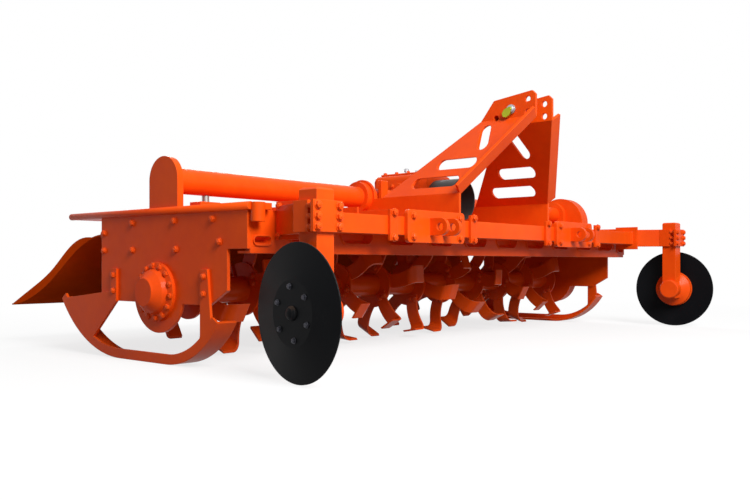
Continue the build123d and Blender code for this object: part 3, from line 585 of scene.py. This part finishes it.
def corners(node):
    """The lowest and highest corner of a node of the machine."""
    low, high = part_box(node)
    return Vector(low), Vector(high)


def middle(node):
    """The middle of a node's box, as plain numbers."""
    low, high = corners(node)
    return [(a + b) / 2 for a, b in zip(low, high)]


def outer_x(node, sign):
    """The x of a node's face on the side that sign points to."""
    low, high = corners(node)
    return high.x if sign > 0 else low.x


# ---------------------------------------------------------------- geometry trees


def new_tree(name, numbers):
    """An empty geometry tree that takes a geometry, (name, default) numbers and a material."""
    inputs = [("Geometry", GEOMETRY, None), *((label, FLOAT, value) for label, value in numbers)]
    inputs.append(("Material", "NodeSocketMaterial", None))
    return new_group(name, inputs, [("Geometry", GEOMETRY)], "GeometryNodeTree")


def end_tree(tree, given, result, geometry):
    """Makes a tree's instances real, sets their material and puts them out."""
    real = add_node(tree, "GeometryNodeRealizeInstances", {"Geometry": geometry})
    inputs = {"Geometry": real.outputs["Geometry"], "Material": given["Material"]}
    paint = add_node(tree, "GeometryNodeSetMaterial", inputs)
    feed(tree, paint.outputs["Geometry"], result["Geometry"])
    return tree


def bolt_tree():
    """Hexagon heads with chamfer, washer and thread end on points that carry axis and size."""
    heads, washers = (("Head Width", 0.027), ("Head Height", 0.01)), (
        ("Washer Width", 0.032), ("Washer Height", 0.003)
    )
    tree, given, result = new_tree("Bolt Heads", heads + washers)

    def times(value, factor):
        return maths(tree, "MULTIPLY", value, factor)

    def drum(label, vertices, low_r, high_r, depth, lift):
        """A cylinder or cone standing on a height."""
        shape = {"Vertices": vertices, "Side Segments": 1, "Fill Segments": 1}
        size = {"Radius Bottom": low_r, "Radius Top": high_r, "Depth": depth}
        cone = add_node(tree, "GeometryNodeMeshCone", {**shape, **size}, label=label)
        offset = add_node(tree, "ShaderNodeCombineXYZ", {"Z": lift})
        inputs = {"Geometry": cone.outputs["Mesh"], "Translation": offset.outputs[0]}
        return add_node(tree, "GeometryNodeTransform", inputs).outputs["Geometry"]

    head_r = times(given["Head Width"], 0.5)
    washer_r = times(given["Washer Width"], 0.5)
    washer_h = given["Washer Height"]
    side_h = times(given["Head Height"], 0.8)
    crown_h = times(given["Head Height"], 0.2)
    crown_r = times(head_r, 0.8)
    end_r = times(head_r, 0.46)
    side_top = maths(tree, "ADD", washer_h, side_h)
    crown_top = maths(tree, "ADD", side_top, crown_h)
    join = tree.nodes.new("GeometryNodeJoinGeometry")
    for part in (
        drum("thread end", 8, end_r, times(end_r, 0.85), times(crown_h, 0.9), crown_top),
        drum("crown", 6, head_r, crown_r, crown_h, side_top),
        drum("head", 6, head_r, head_r, side_h, washer_h),
        drum("washer", 16, washer_r, washer_r, washer_h, 0.0),
    ):
        feed(tree, part, join.inputs["Geometry"])

    def attribute(name, kind):
        inputs = {"Name": name}
        node = add_node(tree, "GeometryNodeInputNamedAttribute", inputs, data_type=kind)
        return node.outputs["Attribute"]

    inputs = {"Axis": (0.0, 0.0, 1.0), "Angle": attribute("turn", "FLOAT")}
    spin = add_node(tree, "FunctionNodeAxisAngleToRotation", inputs)
    inputs = {"Vector": attribute("axis", "FLOAT_VECTOR")}
    aim = add_node(tree, "FunctionNodeAlignRotationToVector", inputs, axis="Z")
    inputs = {"Rotation": aim.outputs["Rotation"], "Rotate By": spin.outputs["Rotation"]}
    both = add_node(tree, "FunctionNodeRotateRotation", inputs, rotation_space="LOCAL")
    place = add_node(tree, "GeometryNodeInstanceOnPoints", {
        "Points": given["Geometry"],
        "Instance": join.outputs["Geometry"],
        "Rotation": both.outputs["Rotation"],
        "Scale": attribute("size", "FLOAT"),
    })
    return end_tree(tree, given, result, place.outputs["Instances"])


def weld_tree():
    """Rippled weld beads along the edges of a mesh."""
    tree, given, result = new_tree("Weld Beads", (("Bead Radius", 0.005), ("Ripple Pitch", 0.006)))
    thinnest, thickest, dip, seed = 0.86, 1.06, -0.16, 7
    curve = add_node(tree, "GeometryNodeMeshToCurve", {"Mesh": given["Geometry"]})
    half_pitch = maths(tree, "MULTIPLY", given["Ripple Pitch"], 0.5)
    inputs = {"Curve": curve.outputs["Curve"], "Length": half_pitch}
    cut = add_node(tree, "GeometryNodeResampleCurve", inputs, mode="LENGTH")
    index = tree.nodes.new("GeometryNodeInputIndex")
    odd = maths(tree, "MODULO", index.outputs[0], 2.0)
    chance = add_node(tree, "FunctionNodeRandomValue", {"Seed": seed}, data_type="FLOAT")
    for label, value in (("Min", thinnest), ("Max", thickest)):
        socket = next(s for s in chance.inputs if s.name == label and s.type == "VALUE")
        socket.default_value = value
    change = next(s for s in chance.outputs if s.type == "VALUE")
    ripple = maths(tree, "MULTIPLY_ADD", odd, dip, change)
    width = maths(tree, "MULTIPLY", ripple, given["Bead Radius"])
    inputs = {"Curve": cut.outputs["Curve"], "Radius": width}
    radius = add_node(tree, "GeometryNodeSetCurveRadius", inputs)
    ring = add_node(tree, "GeometryNodeCurvePrimitiveCircle", {"Resolution": 6, "Radius": 1.0})
    inputs = {"Curve": radius.outputs["Curve"], "Profile Curve": ring.outputs["Curve"]}
    bead = add_node(tree, "GeometryNodeCurveToMesh", {**inputs, "Fill Caps": True})
    if "Scale" in bead.inputs:
        feed(tree, width, bead.inputs["Scale"])
    return end_tree(tree, given, result, bead.outputs["Mesh"])


TREE_MAKERS = {"Bolt Heads": bolt_tree, "Weld Beads": weld_tree}


def grow(piece, name, inputs):
    """Runs a shared tree on an object, with its inputs set by their sockets, and bakes it."""
    modifier = piece.modifiers.new(name, "NODES")
    modifier.node_group = bpy.data.node_groups.get(name) or TREE_MAKERS[name]()
    sockets = {
        item.name: item.identifier
        for item in modifier.node_group.interface.items_tree
        if item.item_type == "SOCKET" and item.in_out == "INPUT"
    }
    for label, value in inputs.items():
        modifier[sockets[label]] = value
    bake(piece)


def set_bolts(name, places, material, body):
    """Makes bolts at (point, axis, size) places and lets them ride a body."""
    mesh = bpy.data.meshes.new(name)
    mesh.from_pydata([tuple(point) for point, _, _ in places], [], [])
    for label, kind in (("axis", "FLOAT_VECTOR"), ("size", "FLOAT"), ("turn", "FLOAT")):
        mesh.attributes.new(label, kind, "POINT")
    axes = [part for _, direction, _ in places for part in Vector(direction).normalized()]
    turns = [(i * 0.77) % math.tau for i in range(len(places))]  # no two neighbours alike
    mesh.attributes["axis"].data.foreach_set("vector", axes)
    mesh.attributes["size"].data.foreach_set("value", [scale for _, _, scale in places])
    mesh.attributes["turn"].data.foreach_set("value", turns)
    piece = place_object(name, mesh)
    hardware = bpy.context.scene.rotavator_hardware
    grow(piece, "Bolt Heads", {
        "Head Width": hardware.head_width,
        "Head Height": hardware.head_height,
        "Washer Width": hardware.washer_width,
        "Washer Height": hardware.washer_height,
        "Material": bpy.data.materials[material],
    })
    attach(piece, body)


def set_welds(name, runs, body):
    """Makes weld beads along runs of points and lets them ride a body."""
    points = []
    edges = []
    for run in runs:
        first = len(points)
        points.extend(tuple(point) for point in run)
        edges.extend((first + i, first + i + 1) for i in range(len(run) - 1))
    mesh = bpy.data.meshes.new(name)
    mesh.from_pydata(points, edges, [])
    piece = place_object(name, mesh)
    hardware = bpy.context.scene.rotavator_hardware
    grow(piece, "Weld Beads", {
        "Bead Radius": hardware.weld_radius,
        "Ripple Pitch": hardware.weld_pitch,
        "Material": bpy.data.materials[ENAMEL],
    })
    for face in piece.data.polygons:
        face.use_smooth = True
    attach(piece, body)


def ring_places(centre, axis, radius, count, size, phase):
    """Bolt places on a circle about an axis."""
    axis = Vector(axis).normalized()
    side = axis.orthogonal().normalized()
    up = axis.cross(side)
    places = []
    for i in range(count):
        angle = phase + math.tau * i / count
        point = Vector(centre) + (side * math.cos(angle) + up * math.sin(angle)) * radius
        places.append((point, axis, size))
    return places


def grid_places(point, direction, steps, rises, size):
    """Bolt places about a point, stepped along X, or along Y where the bolts face along X."""
    x, y, z = point
    return [
        ((x, y + step, z + rise) if direction[0] else (x + step, y, z + rise), direction, size)
        for step in steps
        for rise in rises
    ]


# ---------------------------------------------------------------- operators


class ROTAVATOR_OT_paint_machine(bpy.types.Operator):
    """Give every solid of the machine its finish"""

    bl_idname = "rotavator.paint_machine"
    bl_label = "Paint the Machine"

    def execute(self, context):
        finishes(context.scene.rotavator_paint)
        special = {node: finish for finish, nodes in FINISHES.items() for node in nodes}
        for name, piece in frame["nodes"].items():
            for slot in piece.material_slots:
                slot.material = bpy.data.materials[special.get(name, ENAMEL)]
        return {"FINISHED"}


class ROTAVATOR_OT_frame_bolts(bpy.types.Operator):
    """Bolt the side plates, skids, housings, hitch and clamps"""

    bl_idname = "rotavator.frame_bolts"
    bl_label = "Frame Bolts"

    def execute(self, context):
        self.side_plates()
        self.housings()
        self.front()
        return {"FINISHED"}

    def side_plates(self):
        """Rows of bolts on both side plates and the skids' straps."""
        plate_size, strap_size = 0.82, 0.74
        case_middle, case_half = -0.06, 0.16  # the drive case hides the left-hand bolts here
        rows = (  # behind the rotor's axis, height
            (0.151, 0.480), (-0.093, 0.480), (-0.294, 0.480), (0.331, 0.385),
            (0.151, 0.385), (-0.102, 0.385), (-0.327, 0.407), (0.331, 0.448),
        )
        straps = ((0.258, 0.296), (0.258, 0.240), (-0.260, 0.296), (-0.260, 0.240))
        for side, sign in SIDES:
            shown = [
                row for row in rows if side == "right" or abs(row[0] - case_middle) >= case_half
            ]
            places = []
            for node, spots, size in (
                ("side_plate", shown, plate_size),
                ("skid", straps, strap_size),
            ):
                face = outer_x(f"{node}_{side}", sign)
                for along, height in spots:
                    places.append(((face, ROTOR_AXIS.y + along, height), (sign, 0, 0), size))
            set_bolts(f"side_bolts_{side}", places, ENAMEL, "frame")

    def housings(self):
        """Bolts round the bell housing, the gearbox's flanges and its feet."""
        rim_depth, flange_x, foot_x, foot_height, foot_size = 0.012, 0.131, 0.132, 0.016, 0.9
        rim_x = corners("bearing_housing_right")[1].x - rim_depth
        centre = Vector((rim_x, ROTOR_AXIS.y, ROTOR_AXIS.z))
        places = ring_places(centre, (-1, 0, 0), radius=0.089, count=14, size=0.78, phase=0.2)
        set_bolts("bell_housing_bolts", places, CAST, "frame")

        low, high = corners("tube_end_plate_right")
        tube_axis = Vector((0, (low.y + high.y) / 2, high.z - (high.y - low.y) / 2))
        box_low, _ = corners("gearbox_housing")
        places = []
        for sign in (-1, 1):
            face = Vector((sign * flange_x, tube_axis.y, tube_axis.z))
            places += ring_places(face, (sign, 0, 0), radius=0.067, count=8, size=0.6, phase=0.2)
            for along in (-0.09, 0.0, 0.09):
                foot = (sign * foot_x, tube_axis.y + along, box_low.z + foot_height)
                places.append((foot, (0, 0, 1), foot_size))
        set_bolts("gearbox_bolts", places, CAST, "frame")

    def front(self):
        """Bolts on the lower hitch plates, the toolbar's clamps and the arms' foot plates."""
        forward = (0, -1, 0)
        plate_thickness, clamp_thickness, arm_foot_x = 0.016, 0.008, 1.262
        clamp_face = corners("toolbar_clamps")[0].y
        bar_y = middle("front_toolbar")[1]
        places = []
        for side, sign in SIDES:
            x, _, z = middle(f"lower_hitch_{side}")
            plate_face = corners(f"lower_hitch_{side}")[1].y - plate_thickness
            for point, direction, step, rise, size in (  # hitch plate, clamp, arm's foot plate
                ((x, plate_face, z), forward, 0.145, 0.038, 0.9),
                ((x, clamp_face, z), forward, 0.25, 0.044, 0.95),
                ((sign * arm_foot_x, bar_y, z), (sign, 0, 0), 0.046, 0.046, 0.75),
            ):
                places += grid_places(point, direction, (-step, step), (-rise, rise), size)
        for side, _ in SIDES:
            x, _, z = middle(f"leg_clamp_{side}")
            clamp_front = corners(f"leg_clamp_{side}")[0].y + clamp_thickness
            places += grid_places(
                (x, clamp_front, z), forward, (-0.044, 0.044), (-0.03, 0.0, 0.03), 0.85
            )
        set_bolts("hitch_bolts", places, ENAMEL, "frame")


class ROTAVATOR_OT_rotor_bolts(bpy.types.Operator):
    """Bolt each blade to its flange"""

    bl_idname = "rotavator.rotor_bolts"
    bl_label = "Blade Bolts"

    def execute(self, context):
        flange_count, flange_pitch = 11, 0.25
        flange_half, blade_thickness = 0.005, 0.008
        phase_step, blade_step, facing_step = 22.0, 120.0, 60.0  # degrees
        end_flange = 1.2  # the end flanges carry no blades on their outer faces
        bolt_sides, bolt_height, bolt_size = (0.014, 0.040), 0.078, 0.72
        places = []
        for facing in (-1, 1):
            start = facing_step if facing < 0 else 0.0
            for i in range(flange_count):
                across = (i - (flange_count - 1) / 2) * flange_pitch
                if facing * across > end_flange:
                    continue
                reach = facing * (flange_half + blade_thickness)
                for k in range(3):
                    degrees = phase_step * i + start + blade_step * k
                    turn = Matrix.Rotation(math.radians(degrees), 3, "X")
                    for sideways in bolt_sides:
                        local = turn @ Vector((0, sideways, bolt_height))
                        point = ROTOR_AXIS + local + Vector((across + reach, 0, 0))
                        places.append((point, (facing, 0, 0), bolt_size))
        set_bolts("blade_bolts", places, BLADE, "rotor")
        return {"FINISHED"}


class ROTAVATOR_OT_disc_hubs(bpy.types.Operator):
    """Add the bolts and the domed cap on each edge disc"""

    bl_idname = "rotavator.disc_hubs"
    bl_label = "Disc Hubs"

    def execute(self, context):
        half_disc = 0.003
        for side, _ in SIDES:
            joint = JOINTS[f"disc_{side}_spin"]
            axis = Vector(joint["axis"])
            face = Vector(joint["pos_m"]) + axis * half_disc
            places = ring_places(face, axis, radius=0.076, count=6, size=0.56, phase=0.4)
            set_bolts(f"disc_bolts_{side}", places, DARK_STEEL, f"disc_{side}")

            def cap(shape, face=face, axis=axis):
                add_lathe(shape, DISC_CAP, face, axis, 24)

            piece = mesh_object(f"disc_cap_{side}", cap, DISC)
            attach(piece, f"disc_{side}")
        return {"FINISHED"}


class ROTAVATOR_OT_welds(bpy.types.Operator):
    """Lay the weld beads on the deck, the mast's feet, the brackets and the arms"""

    bl_idname = "rotavator.welds"
    bl_label = "Weld Beads"

    def execute(self, context):
        rib_places, rib_half = (-0.98, -0.80, -0.62, 0.62, 0.80, 0.98), 0.004
        foot_sides, foot_front = (0.362, 0.350), -0.53
        arm_end, bar_half = 1.25, 0.0325
        bracket_count, bracket_pitch, bracket_half = 6, 0.42, 0.01
        runs = []
        low, high = corners("deck_ribs")
        deck_z = low.z
        for x in rib_places:
            for side in (-rib_half, rib_half):
                runs.append([(x + side, low.y, deck_z), (x + side, high.y, deck_z)])
        _, y, z = middle("front_toolbar")
        loop = SQUARE + SQUARE[:1]
        for side, sign in SIDES:
            foot_rear = corners(f"mast_plate_{side}")[1].y
            for x in foot_sides:
                runs.append([(sign * x, foot_front, deck_z), (sign * x, foot_rear, deck_z)])
            runs.append([(sign * arm_end, y + a * bar_half, z + b * bar_half) for a, b in loop])
        low, high = corners("toolbar_brackets")
        for i in range(bracket_count):
            bracket = (i - (bracket_count - 1) / 2) * bracket_pitch
            for side in (-bracket_half, bracket_half):
                x = bracket + side
                runs.append([(x, low.y, high.z), (x, high.y, high.z)])
                runs.append([(x, low.y, low.z), (x, low.y, high.z)])
                runs.append([(x, high.y, low.z), (x, high.y, high.z)])
        set_welds("frame_welds", runs, "frame")
        return {"FINISHED"}


class ROTAVATOR_OT_pto_spline(bpy.types.Operator):
    """Replace the plain shaft stub with a splined one"""

    bl_idname = "rotavator.pto_spline"
    bl_label = "Splined Shaft"

    def execute(self, context):
        crest_r, root_r, tip_r, collar_r = 0.0172, 0.0148, 0.0125, 0.022
        tip_depth, overlap = 0.003, 0.001
        tooth = ((-0.5, crest_r), (0.5, crest_r), (0.62, root_r), (1.38, root_r))
        low, high = corners("pto_shaft")
        front_y = low.y + tip_depth
        collar = high.y - PTO_START.y
        count = context.scene.rotavator_hardware.spline_count

        def build(shape):
            outline = []
            half = math.pi / count
            for i in range(count):
                base = math.tau * i / count
                for share, radius in tooth:  # share of half a spline's step, radius
                    angle = base + share * half
                    x, z = radius * math.cos(angle), PTO_START.z + radius * math.sin(angle)
                    outline.append((x, PTO_START.y, z))
            add_prism(shape, outline, (0, PTO_START.y, 0), (0, front_y, 0))
            profile = ((0.0, 0.0), (collar_r, 0.0), (collar_r, collar), (0.0, collar))
            add_lathe(shape, profile, PTO_START, (0, 1, 0), 40)
            root = ((0.0, -overlap), (root_r, -overlap), (root_r, overlap))
            tip = (*root, (tip_r, tip_depth), (0.0, tip_depth))
            add_lathe(shape, tip, (0, front_y, PTO_START.z), (0, -1, 0), 30)

        piece = mesh_object("pto_splined_shaft", build, STEEL)
        round_corners(piece, 0.0007)
        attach(piece, "pto")
        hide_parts("pto_shaft")
        return {"FINISHED"}


class ROTAVATOR_OT_mast_fittings(bpy.types.Operator):
    """Add the heads and the tags at the ends of the mast pin"""

    bl_idname = "rotavator.mast_fittings"
    bl_label = "Mast Fittings"

    def execute(self, context):
        tag_points, tag_turn, tag_thickness = 16, 0.8, 0.012
        tag_radius, tag_reach = 0.010, 0.034
        low, high = corners("mast_pin")
        _, centre_y, centre_z = middle("mast_pin")
        ends = ((-1, low.x), (1, high.x))

        def heads(shape):
            for sign, face in ends:
                add_lathe(shape, PIN_HEAD, (face, centre_y, centre_z), (sign, 0, 0), 24)

        def tags(shape):
            for sign, face in ends:
                outline = []
                for i in range(tag_points):
                    angle = math.tau * i / tag_points
                    swing = max(0.0, math.cos(angle - tag_turn))
                    reach = tag_radius + tag_reach * swing * swing
                    y, z = centre_y + reach * math.sin(angle), centre_z - reach * math.cos(angle)
                    outline.append((face, y, z))
                add_prism(shape, outline, (0, 0, 0), (sign * tag_thickness, 0, 0))

        piece = mesh_object("mast_pin_heads", heads, ZINC)
        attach(piece, "frame")
        piece = mesh_object("mast_pin_tags", tags, TAG)
        round_corners(piece, 0.003)
        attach(piece, "frame")
        return {"FINISHED"}


class ROTAVATOR_OT_frame_forms(bpy.types.Operator):
    """Add the pressed pockets in the channel, the rails' rolled edges and the drive tube's feet"""

    bl_idname = "rotavator.frame_forms"
    bl_label = "Frame Forms"

    def execute(self, context):
        self.pockets()
        self.rail_edges()
        self.tube_feet()
        return {"FINISHED"}

    def pockets(self):
        """A raised lip round each window of the front channel, with a dished plate behind it."""
        front_y = corners("front_channel")[0].y
        wall = 0.008
        pitch, count, end_window = 0.25, 10, 1.315
        arc_steps = 8
        # the middle's x and z, half the length, half the height
        windows = [((i - (count - 1) / 2) * pitch, 0.437, 0.080, 0.029) for i in range(count)]
        windows += [(sign * end_window, 0.410, 0.034, 0.012) for _, sign in SIDES]
        rings = (  # growth over the window's outline, depth behind the wall's front
            (0.005, -0.005), (0.001, -0.005), (-0.001, wall), (-0.010, 0.026),
            (-0.006, 0.029), (0.006, wall + 0.004), (0.006, wall), (0.005, 0.0),
        )
        dish_front, dish_back = 3, 4  # the two rings that a plate closes

        def loop(place, growth, depth):
            centre_x, centre_z, half_length, half_height = place
            radius = half_height + growth
            straight = half_length - half_height
            points = []
            for side, first in ((1, -0.5 * math.pi), (-1, 0.5 * math.pi)):
                for i in range(arc_steps + 1):
                    angle = first + math.pi * i / arc_steps
                    x = centre_x + side * straight + radius * math.cos(angle)
                    z = centre_z + radius * math.sin(angle)
                    points.append(Vector((x, front_y + depth, z)))
            return points

        def join(shape, first, second):
            for a in range(len(first)):
                b = (a + 1) % len(first)
                shape.faces.new((first[a], first[b], second[b], second[a]))

        def build(shape):
            for place in windows:
                loops = [[shape.verts.new(point) for point in loop(place, *ring)] for ring in rings]
                for i in range(len(rings)):
                    if i != dish_front:
                        join(shape, loops[i], loops[(i + 1) % len(rings)])
                shape.faces.new(loops[dish_front])
                shape.faces.new(list(reversed(loops[dish_back])))

        piece = mesh_object("channel_pockets", build, ENAMEL)
        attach(piece, "frame")

    def rail_edges(self):
        """A half-round edge along the outside of each side rail."""
        radius, drop, front_gap, taper = 0.0125, 0.0105, 0.03, 0.006
        for side, sign in SIDES:
            low, high = corners(f"side_rail_{side}")
            origin = (outer_x(f"side_rail_{side}", sign), low.y + front_gap, high.z - drop)
            length = high.y - origin[1]
            tip = ((radius, length - taper), (0.7 * radius, length - 0.001), (0.0, length))
            profile = ((0.0, 0.0), (radius, 0.0), *tip)

            def build(shape, profile=profile, origin=origin):
                add_lathe(shape, profile, origin, (0, 1, 0), 20)

            piece = mesh_object(f"rail_edge_{side}", build, ENAMEL)
            for face in piece.data.polygons:
                face.use_smooth = len(face.vertices) == 4
            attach(piece, "frame")

    def tube_feet(self):
        """Pads under the jack pins and the upright lugs in front of the drive tube."""
        pin_low, pin_high = corners("tube_jack_pins")
        tube_low, tube_high = corners("drive_tube_right")
        deck_z = corners("deck_ribs")[0].z
        pin_y = (pin_low.y + pin_high.y) / 2
        tube_r = (tube_high.y - tube_low.y) / 2
        tube_front = (tube_low.y + tube_high.y) / 2 - tube_r
        pin_r, lug_x, lug_top = 0.013, 0.285, 0.697
        pad_half_x, pad_half_y, pad_height = 0.045, 0.032, 0.016
        lug_half, lug_ahead, lug_behind = 0.022, 0.004, 0.016
        foot_half, foot_ahead, foot_behind, foot_height = 0.034, 0.012, 0.034, 0.010
        blocks = []
        for _, sign in SIDES:
            pin_x, x = sign * (pin_high.x - pin_r), sign * lug_x
            for centre, half, front, rear, bottom, top in (  # pad, lug, lug's foot
                (pin_x, pad_half_x, pin_y - pad_half_y, pin_y + pad_half_y,
                 pin_low.z, pin_low.z + pad_height),
                (x, lug_half, tube_front - lug_ahead, tube_front + lug_behind, deck_z, lug_top),
                (x, foot_half, tube_front - foot_ahead, tube_front + foot_behind,
                 deck_z, deck_z + foot_height),
            ):
                blocks.append(((centre - half, front, bottom), (centre + half, rear, top)))

        def build(shape):
            for low, high in blocks:
                add_block(shape, low, high)

        piece = mesh_object("tube_feet", build, ENAMEL)
        round_corners(piece, 0.003)
        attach(piece, "frame")


class ROTAVATOR_OT_gearbox_trim(bpy.types.Operator):
    """Add the gearbox's cover, breather and plug, and the drive case's cover"""

    bl_idname = "rotavator.gearbox_trim"
    bl_label = "Gearbox Trim"

    def execute(self, context):
        self.gearbox()
        self.drive_case()
        return {"FINISHED"}

    def gearbox(self):
        """The cover on the gearbox with its bolts, breather and filler plug."""
        half_x, half_y, thickness = 0.088, 0.118, 0.010
        bolt_x, bolt_steps, bolt_size = 0.074, (-0.102, -0.034, 0.034, 0.102), 0.62
        box_top = corners("gearbox_housing")[1].z
        cover_top = box_top + thickness
        tube_y = middle("drive_tube_right")[1]
        breather_place = (0.03, tube_y + 0.06, cover_top)
        plug_place = (-0.03, tube_y - 0.05, cover_top)

        def cover(shape):
            outline = [(a * half_x, tube_y + b * half_y, box_top) for a, b in SQUARE]
            add_prism(shape, outline, (0, 0, 0), (0, 0, thickness))

        def breather(shape):
            add_lathe(shape, BREATHER, breather_place, (0, 0, 1), 20)
            add_lathe(shape, PLUG, plug_place, (0, 0, 1), 6)

        piece = mesh_object("gearbox_cover", cover, CAST)
        round_corners(piece, 0.004, 3)
        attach(piece, "frame")
        places = [
            ((sign * bolt_x, tube_y + step, cover_top), (0, 0, 1), bolt_size)
            for sign in (-1, 1)
            for step in bolt_steps
        ]
        set_bolts("gearbox_cover_bolts", places, CAST, "frame")
        piece = mesh_object("gearbox_breather", breather, ZINC)
        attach(piece, "frame")

    def drive_case(self):
        """The cover on the side drive case with its bolts."""
        face_x = corners("side_drive_case_left")[1].x
        top_ahead, top_height, top_radius, foot_radius = 0.062, 0.572, 0.145, 0.132
        margin, bolt_margin, thickness = 0.030, 0.044, 0.008
        arc_steps, bolt_step, bolt_size = 20, 4, 0.6
        top = Vector((face_x, ROTOR_AXIS.y - top_ahead, top_height))
        foot = Vector((face_x, ROTOR_AXIS.y, ROTOR_AXIS.z))

        def stadium(inset):
            """Outline round the case's two ends, clockwise seen from outside."""
            lean = math.atan2(top.y - foot.y, top.z - foot.z)
            points = []
            for centre, radius, first in ((top, top_radius, 0.0), (foot, foot_radius, math.pi)):
                for i in range(arc_steps + 1):
                    angle = first + math.pi * i / arc_steps - lean
                    y = centre.y + (radius - inset) * math.cos(angle)
                    z = centre.z + (radius - inset) * math.sin(angle)
                    points.append((centre.x, y, z))
            return points

        def case_cover(shape):
            add_prism(shape, stadium(margin), (0, 0, 0), (thickness, 0, 0))

        piece = mesh_object("drive_case_cover", case_cover, CAST)
        round_corners(piece, 0.003)
        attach(piece, "frame")
        places = [
            (Vector(point) + Vector((thickness, 0, 0)), (1, 0, 0), bolt_size)
            for point in stadium(bolt_margin)[::bolt_step]
        ]
        set_bolts("drive_case_bolts", places, CAST, "frame")


class ROTAVATOR_OT_stage(bpy.types.Operator):
    """Set up the floor, the lamps and the camera"""

    bl_idname = "rotavator.stage"
    bl_label = "Stage"

    def execute(self, context):
        stage = context.scene.rotavator_stage
        self.floor()
        self.world(stage)
        self.lamps(stage)
        self.camera(stage)
        return {"FINISHED"}

    def floor(self):
        """A large pale floor that keeps the machine's shadow and glows white further out."""
        half_width, height = 40.0, -0.001
        # The floor's colour for light that bounces off it is a dark grey, far darker than it looks:
        # painted shade on the machine's underside.
        pale, paler, bounce_shade_grey = (0.94, 0.94, 0.94), (0.97, 0.97, 0.97), (0.22, 0.22, 0.22)
        near, far, near_share, far_share = 1.2, 4.0, 0.76, 1.0

        def plane(shape):
            points = [(x * half_width, y * half_width, height) for x, y in SQUARE]
            shape.faces.new([shape.verts.new(point) for point in points])

        tree, shader = new_material(FLOOR)
        place = object_place(tree)
        cloud = noise_texture(tree, place, 0.6, 3.0, 0.5)
        seen = blend_colour(tree, cloud, pale, paler)
        direct = seen_rays(tree)
        # Pale where the floor is seen, dark grey for bounce light, which paints shade under the
        # machine.
        feed(tree, blend_colour(tree, direct, bounce_shade_grey, seen), shader.inputs["Base Color"])
        shader.inputs["Roughness"].default_value = 0.9
        shader.inputs["Specular IOR Level"].default_value = 0.1
        glow = add_node(tree, "ShaderNodeEmission", {"Strength": 1.0})
        span = add_node(tree, "ShaderNodeVectorMath", {0: place}, operation="LENGTH")
        fade = value_range(tree, span.outputs["Value"], near_share, far_share, near, far)
        mix = add_node(tree, "ShaderNodeMixShader", {
            "Fac": maths(tree, "MULTIPLY", direct, fade),
            1: shader.outputs["BSDF"],
            2: glow.outputs["Emission"],
        })
        feed(tree, mix.outputs["Shader"], tree.nodes["Material Output"].inputs["Surface"])
        floor = mesh_object("floor", plane, FLOOR)

    def world(self, stage):
        """White to the eye and in reflections, softer as light."""
        world = bpy.data.worlds.new("Studio")
        bpy.context.scene.world = world
        world.use_nodes = True
        tree = world.node_tree
        background = tree.nodes["Background"]
        feed(tree, (1.0, 1.0, 1.0), background.inputs["Color"])
        strength = value_range(tree, seen_rays(tree), stage.ambient, 1.0)
        feed(tree, strength, background.inputs["Strength"])

    def lamps(self, stage):
        """A wide soft lamp above the front, and a weaker one behind the far end."""
        target = Vector((0.0, -0.2, 0.4))
        for name, place, width, watts in (
            ("key", (-2.0, -4.8, 3.6), 2.8, stage.key_watts),
            ("back", (3.2, 5.0, 2.6), 3.0, stage.back_watts),
        ):
            lamp = bpy.data.lights.new(name, "AREA")
            lamp.energy = watts
            lamp.size = width
            rig = place_object(name, lamp)
            rig.location = place
            rig.rotation_euler = (target - Vector(place)).to_track_quat("-Z", "Y").to_euler()

    def camera(self, stage):
        """Low three-quarter view from the right-hand front corner."""
        data = bpy.data.cameras.new("view")
        data.sensor_width = 36.0
        data.lens = stage.camera_lens
        data.shift_y = stage.camera_shift
        data.clip_end = 200.0
        rig = place_object("view", data)
        rig.location = stage.camera_place
        rig.rotation_euler = (math.pi / 2, 0.0, stage.camera_turn - math.pi / 2)
        bpy.context.scene.camera = rig
        bpy.context.scene.view_settings.view_transform = "Standard"


# ---------------------------------------------------------------- panel and registration

OPERATORS = (
    ROTAVATOR_OT_paint_machine,
    ROTAVATOR_OT_frame_bolts,
    ROTAVATOR_OT_rotor_bolts,
    ROTAVATOR_OT_disc_hubs,
    ROTAVATOR_OT_welds,
    ROTAVATOR_OT_pto_spline,
    ROTAVATOR_OT_mast_fittings,
    ROTAVATOR_OT_frame_forms,
    ROTAVATOR_OT_gearbox_trim,
    ROTAVATOR_OT_stage,
)

SETTINGS = (
    ("rotavator_paint", RotavatorPaint),
    ("rotavator_hardware", RotavatorHardware),
    ("rotavator_stage", RotavatorStage),
)


class ROTAVATOR_PT_dressing(bpy.types.Panel):
    """Lists the steps that dress the machine"""

    bl_idname = "ROTAVATOR_PT_dressing"
    bl_label = "Rotavator"
    bl_space_type = "VIEW_3D"
    bl_region_type = "UI"
    bl_category = "Rotavator"

    def draw(self, context):
        for operator in OPERATORS:
            self.layout.operator(operator.bl_idname)
        for name, _ in SETTINGS:
            group = getattr(context.scene, name)
            box = self.layout.box()
            for setting in group.bl_rna.properties.keys():
                if setting not in ("rna_type", "name"):
                    box.prop(group, setting)


def register():
    for name, group in SETTINGS:
        bpy.utils.register_class(group)
        setattr(bpy.types.Scene, name, PointerProperty(type=group))
    for operator in OPERATORS:
        bpy.utils.register_class(operator)
    bpy.utils.register_class(ROTAVATOR_PT_dressing)


def unregister():
    bpy.utils.unregister_class(ROTAVATOR_PT_dressing)
    for operator in reversed(OPERATORS):
        bpy.utils.unregister_class(operator)
    for name, group in reversed(SETTINGS):
        delattr(bpy.types.Scene, name)
        bpy.utils.unregister_class(group)


def main():
    """Dresses the machine step by step."""
    register()
    for operator in OPERATORS:
        group, step = operator.bl_idname.split(".")
        result = getattr(getattr(bpy.ops, group), step)()
        if result != {"FINISHED"}:
            raise RuntimeError(f"{operator.bl_label} did not finish")


if __name__ == "__main__":
    main()
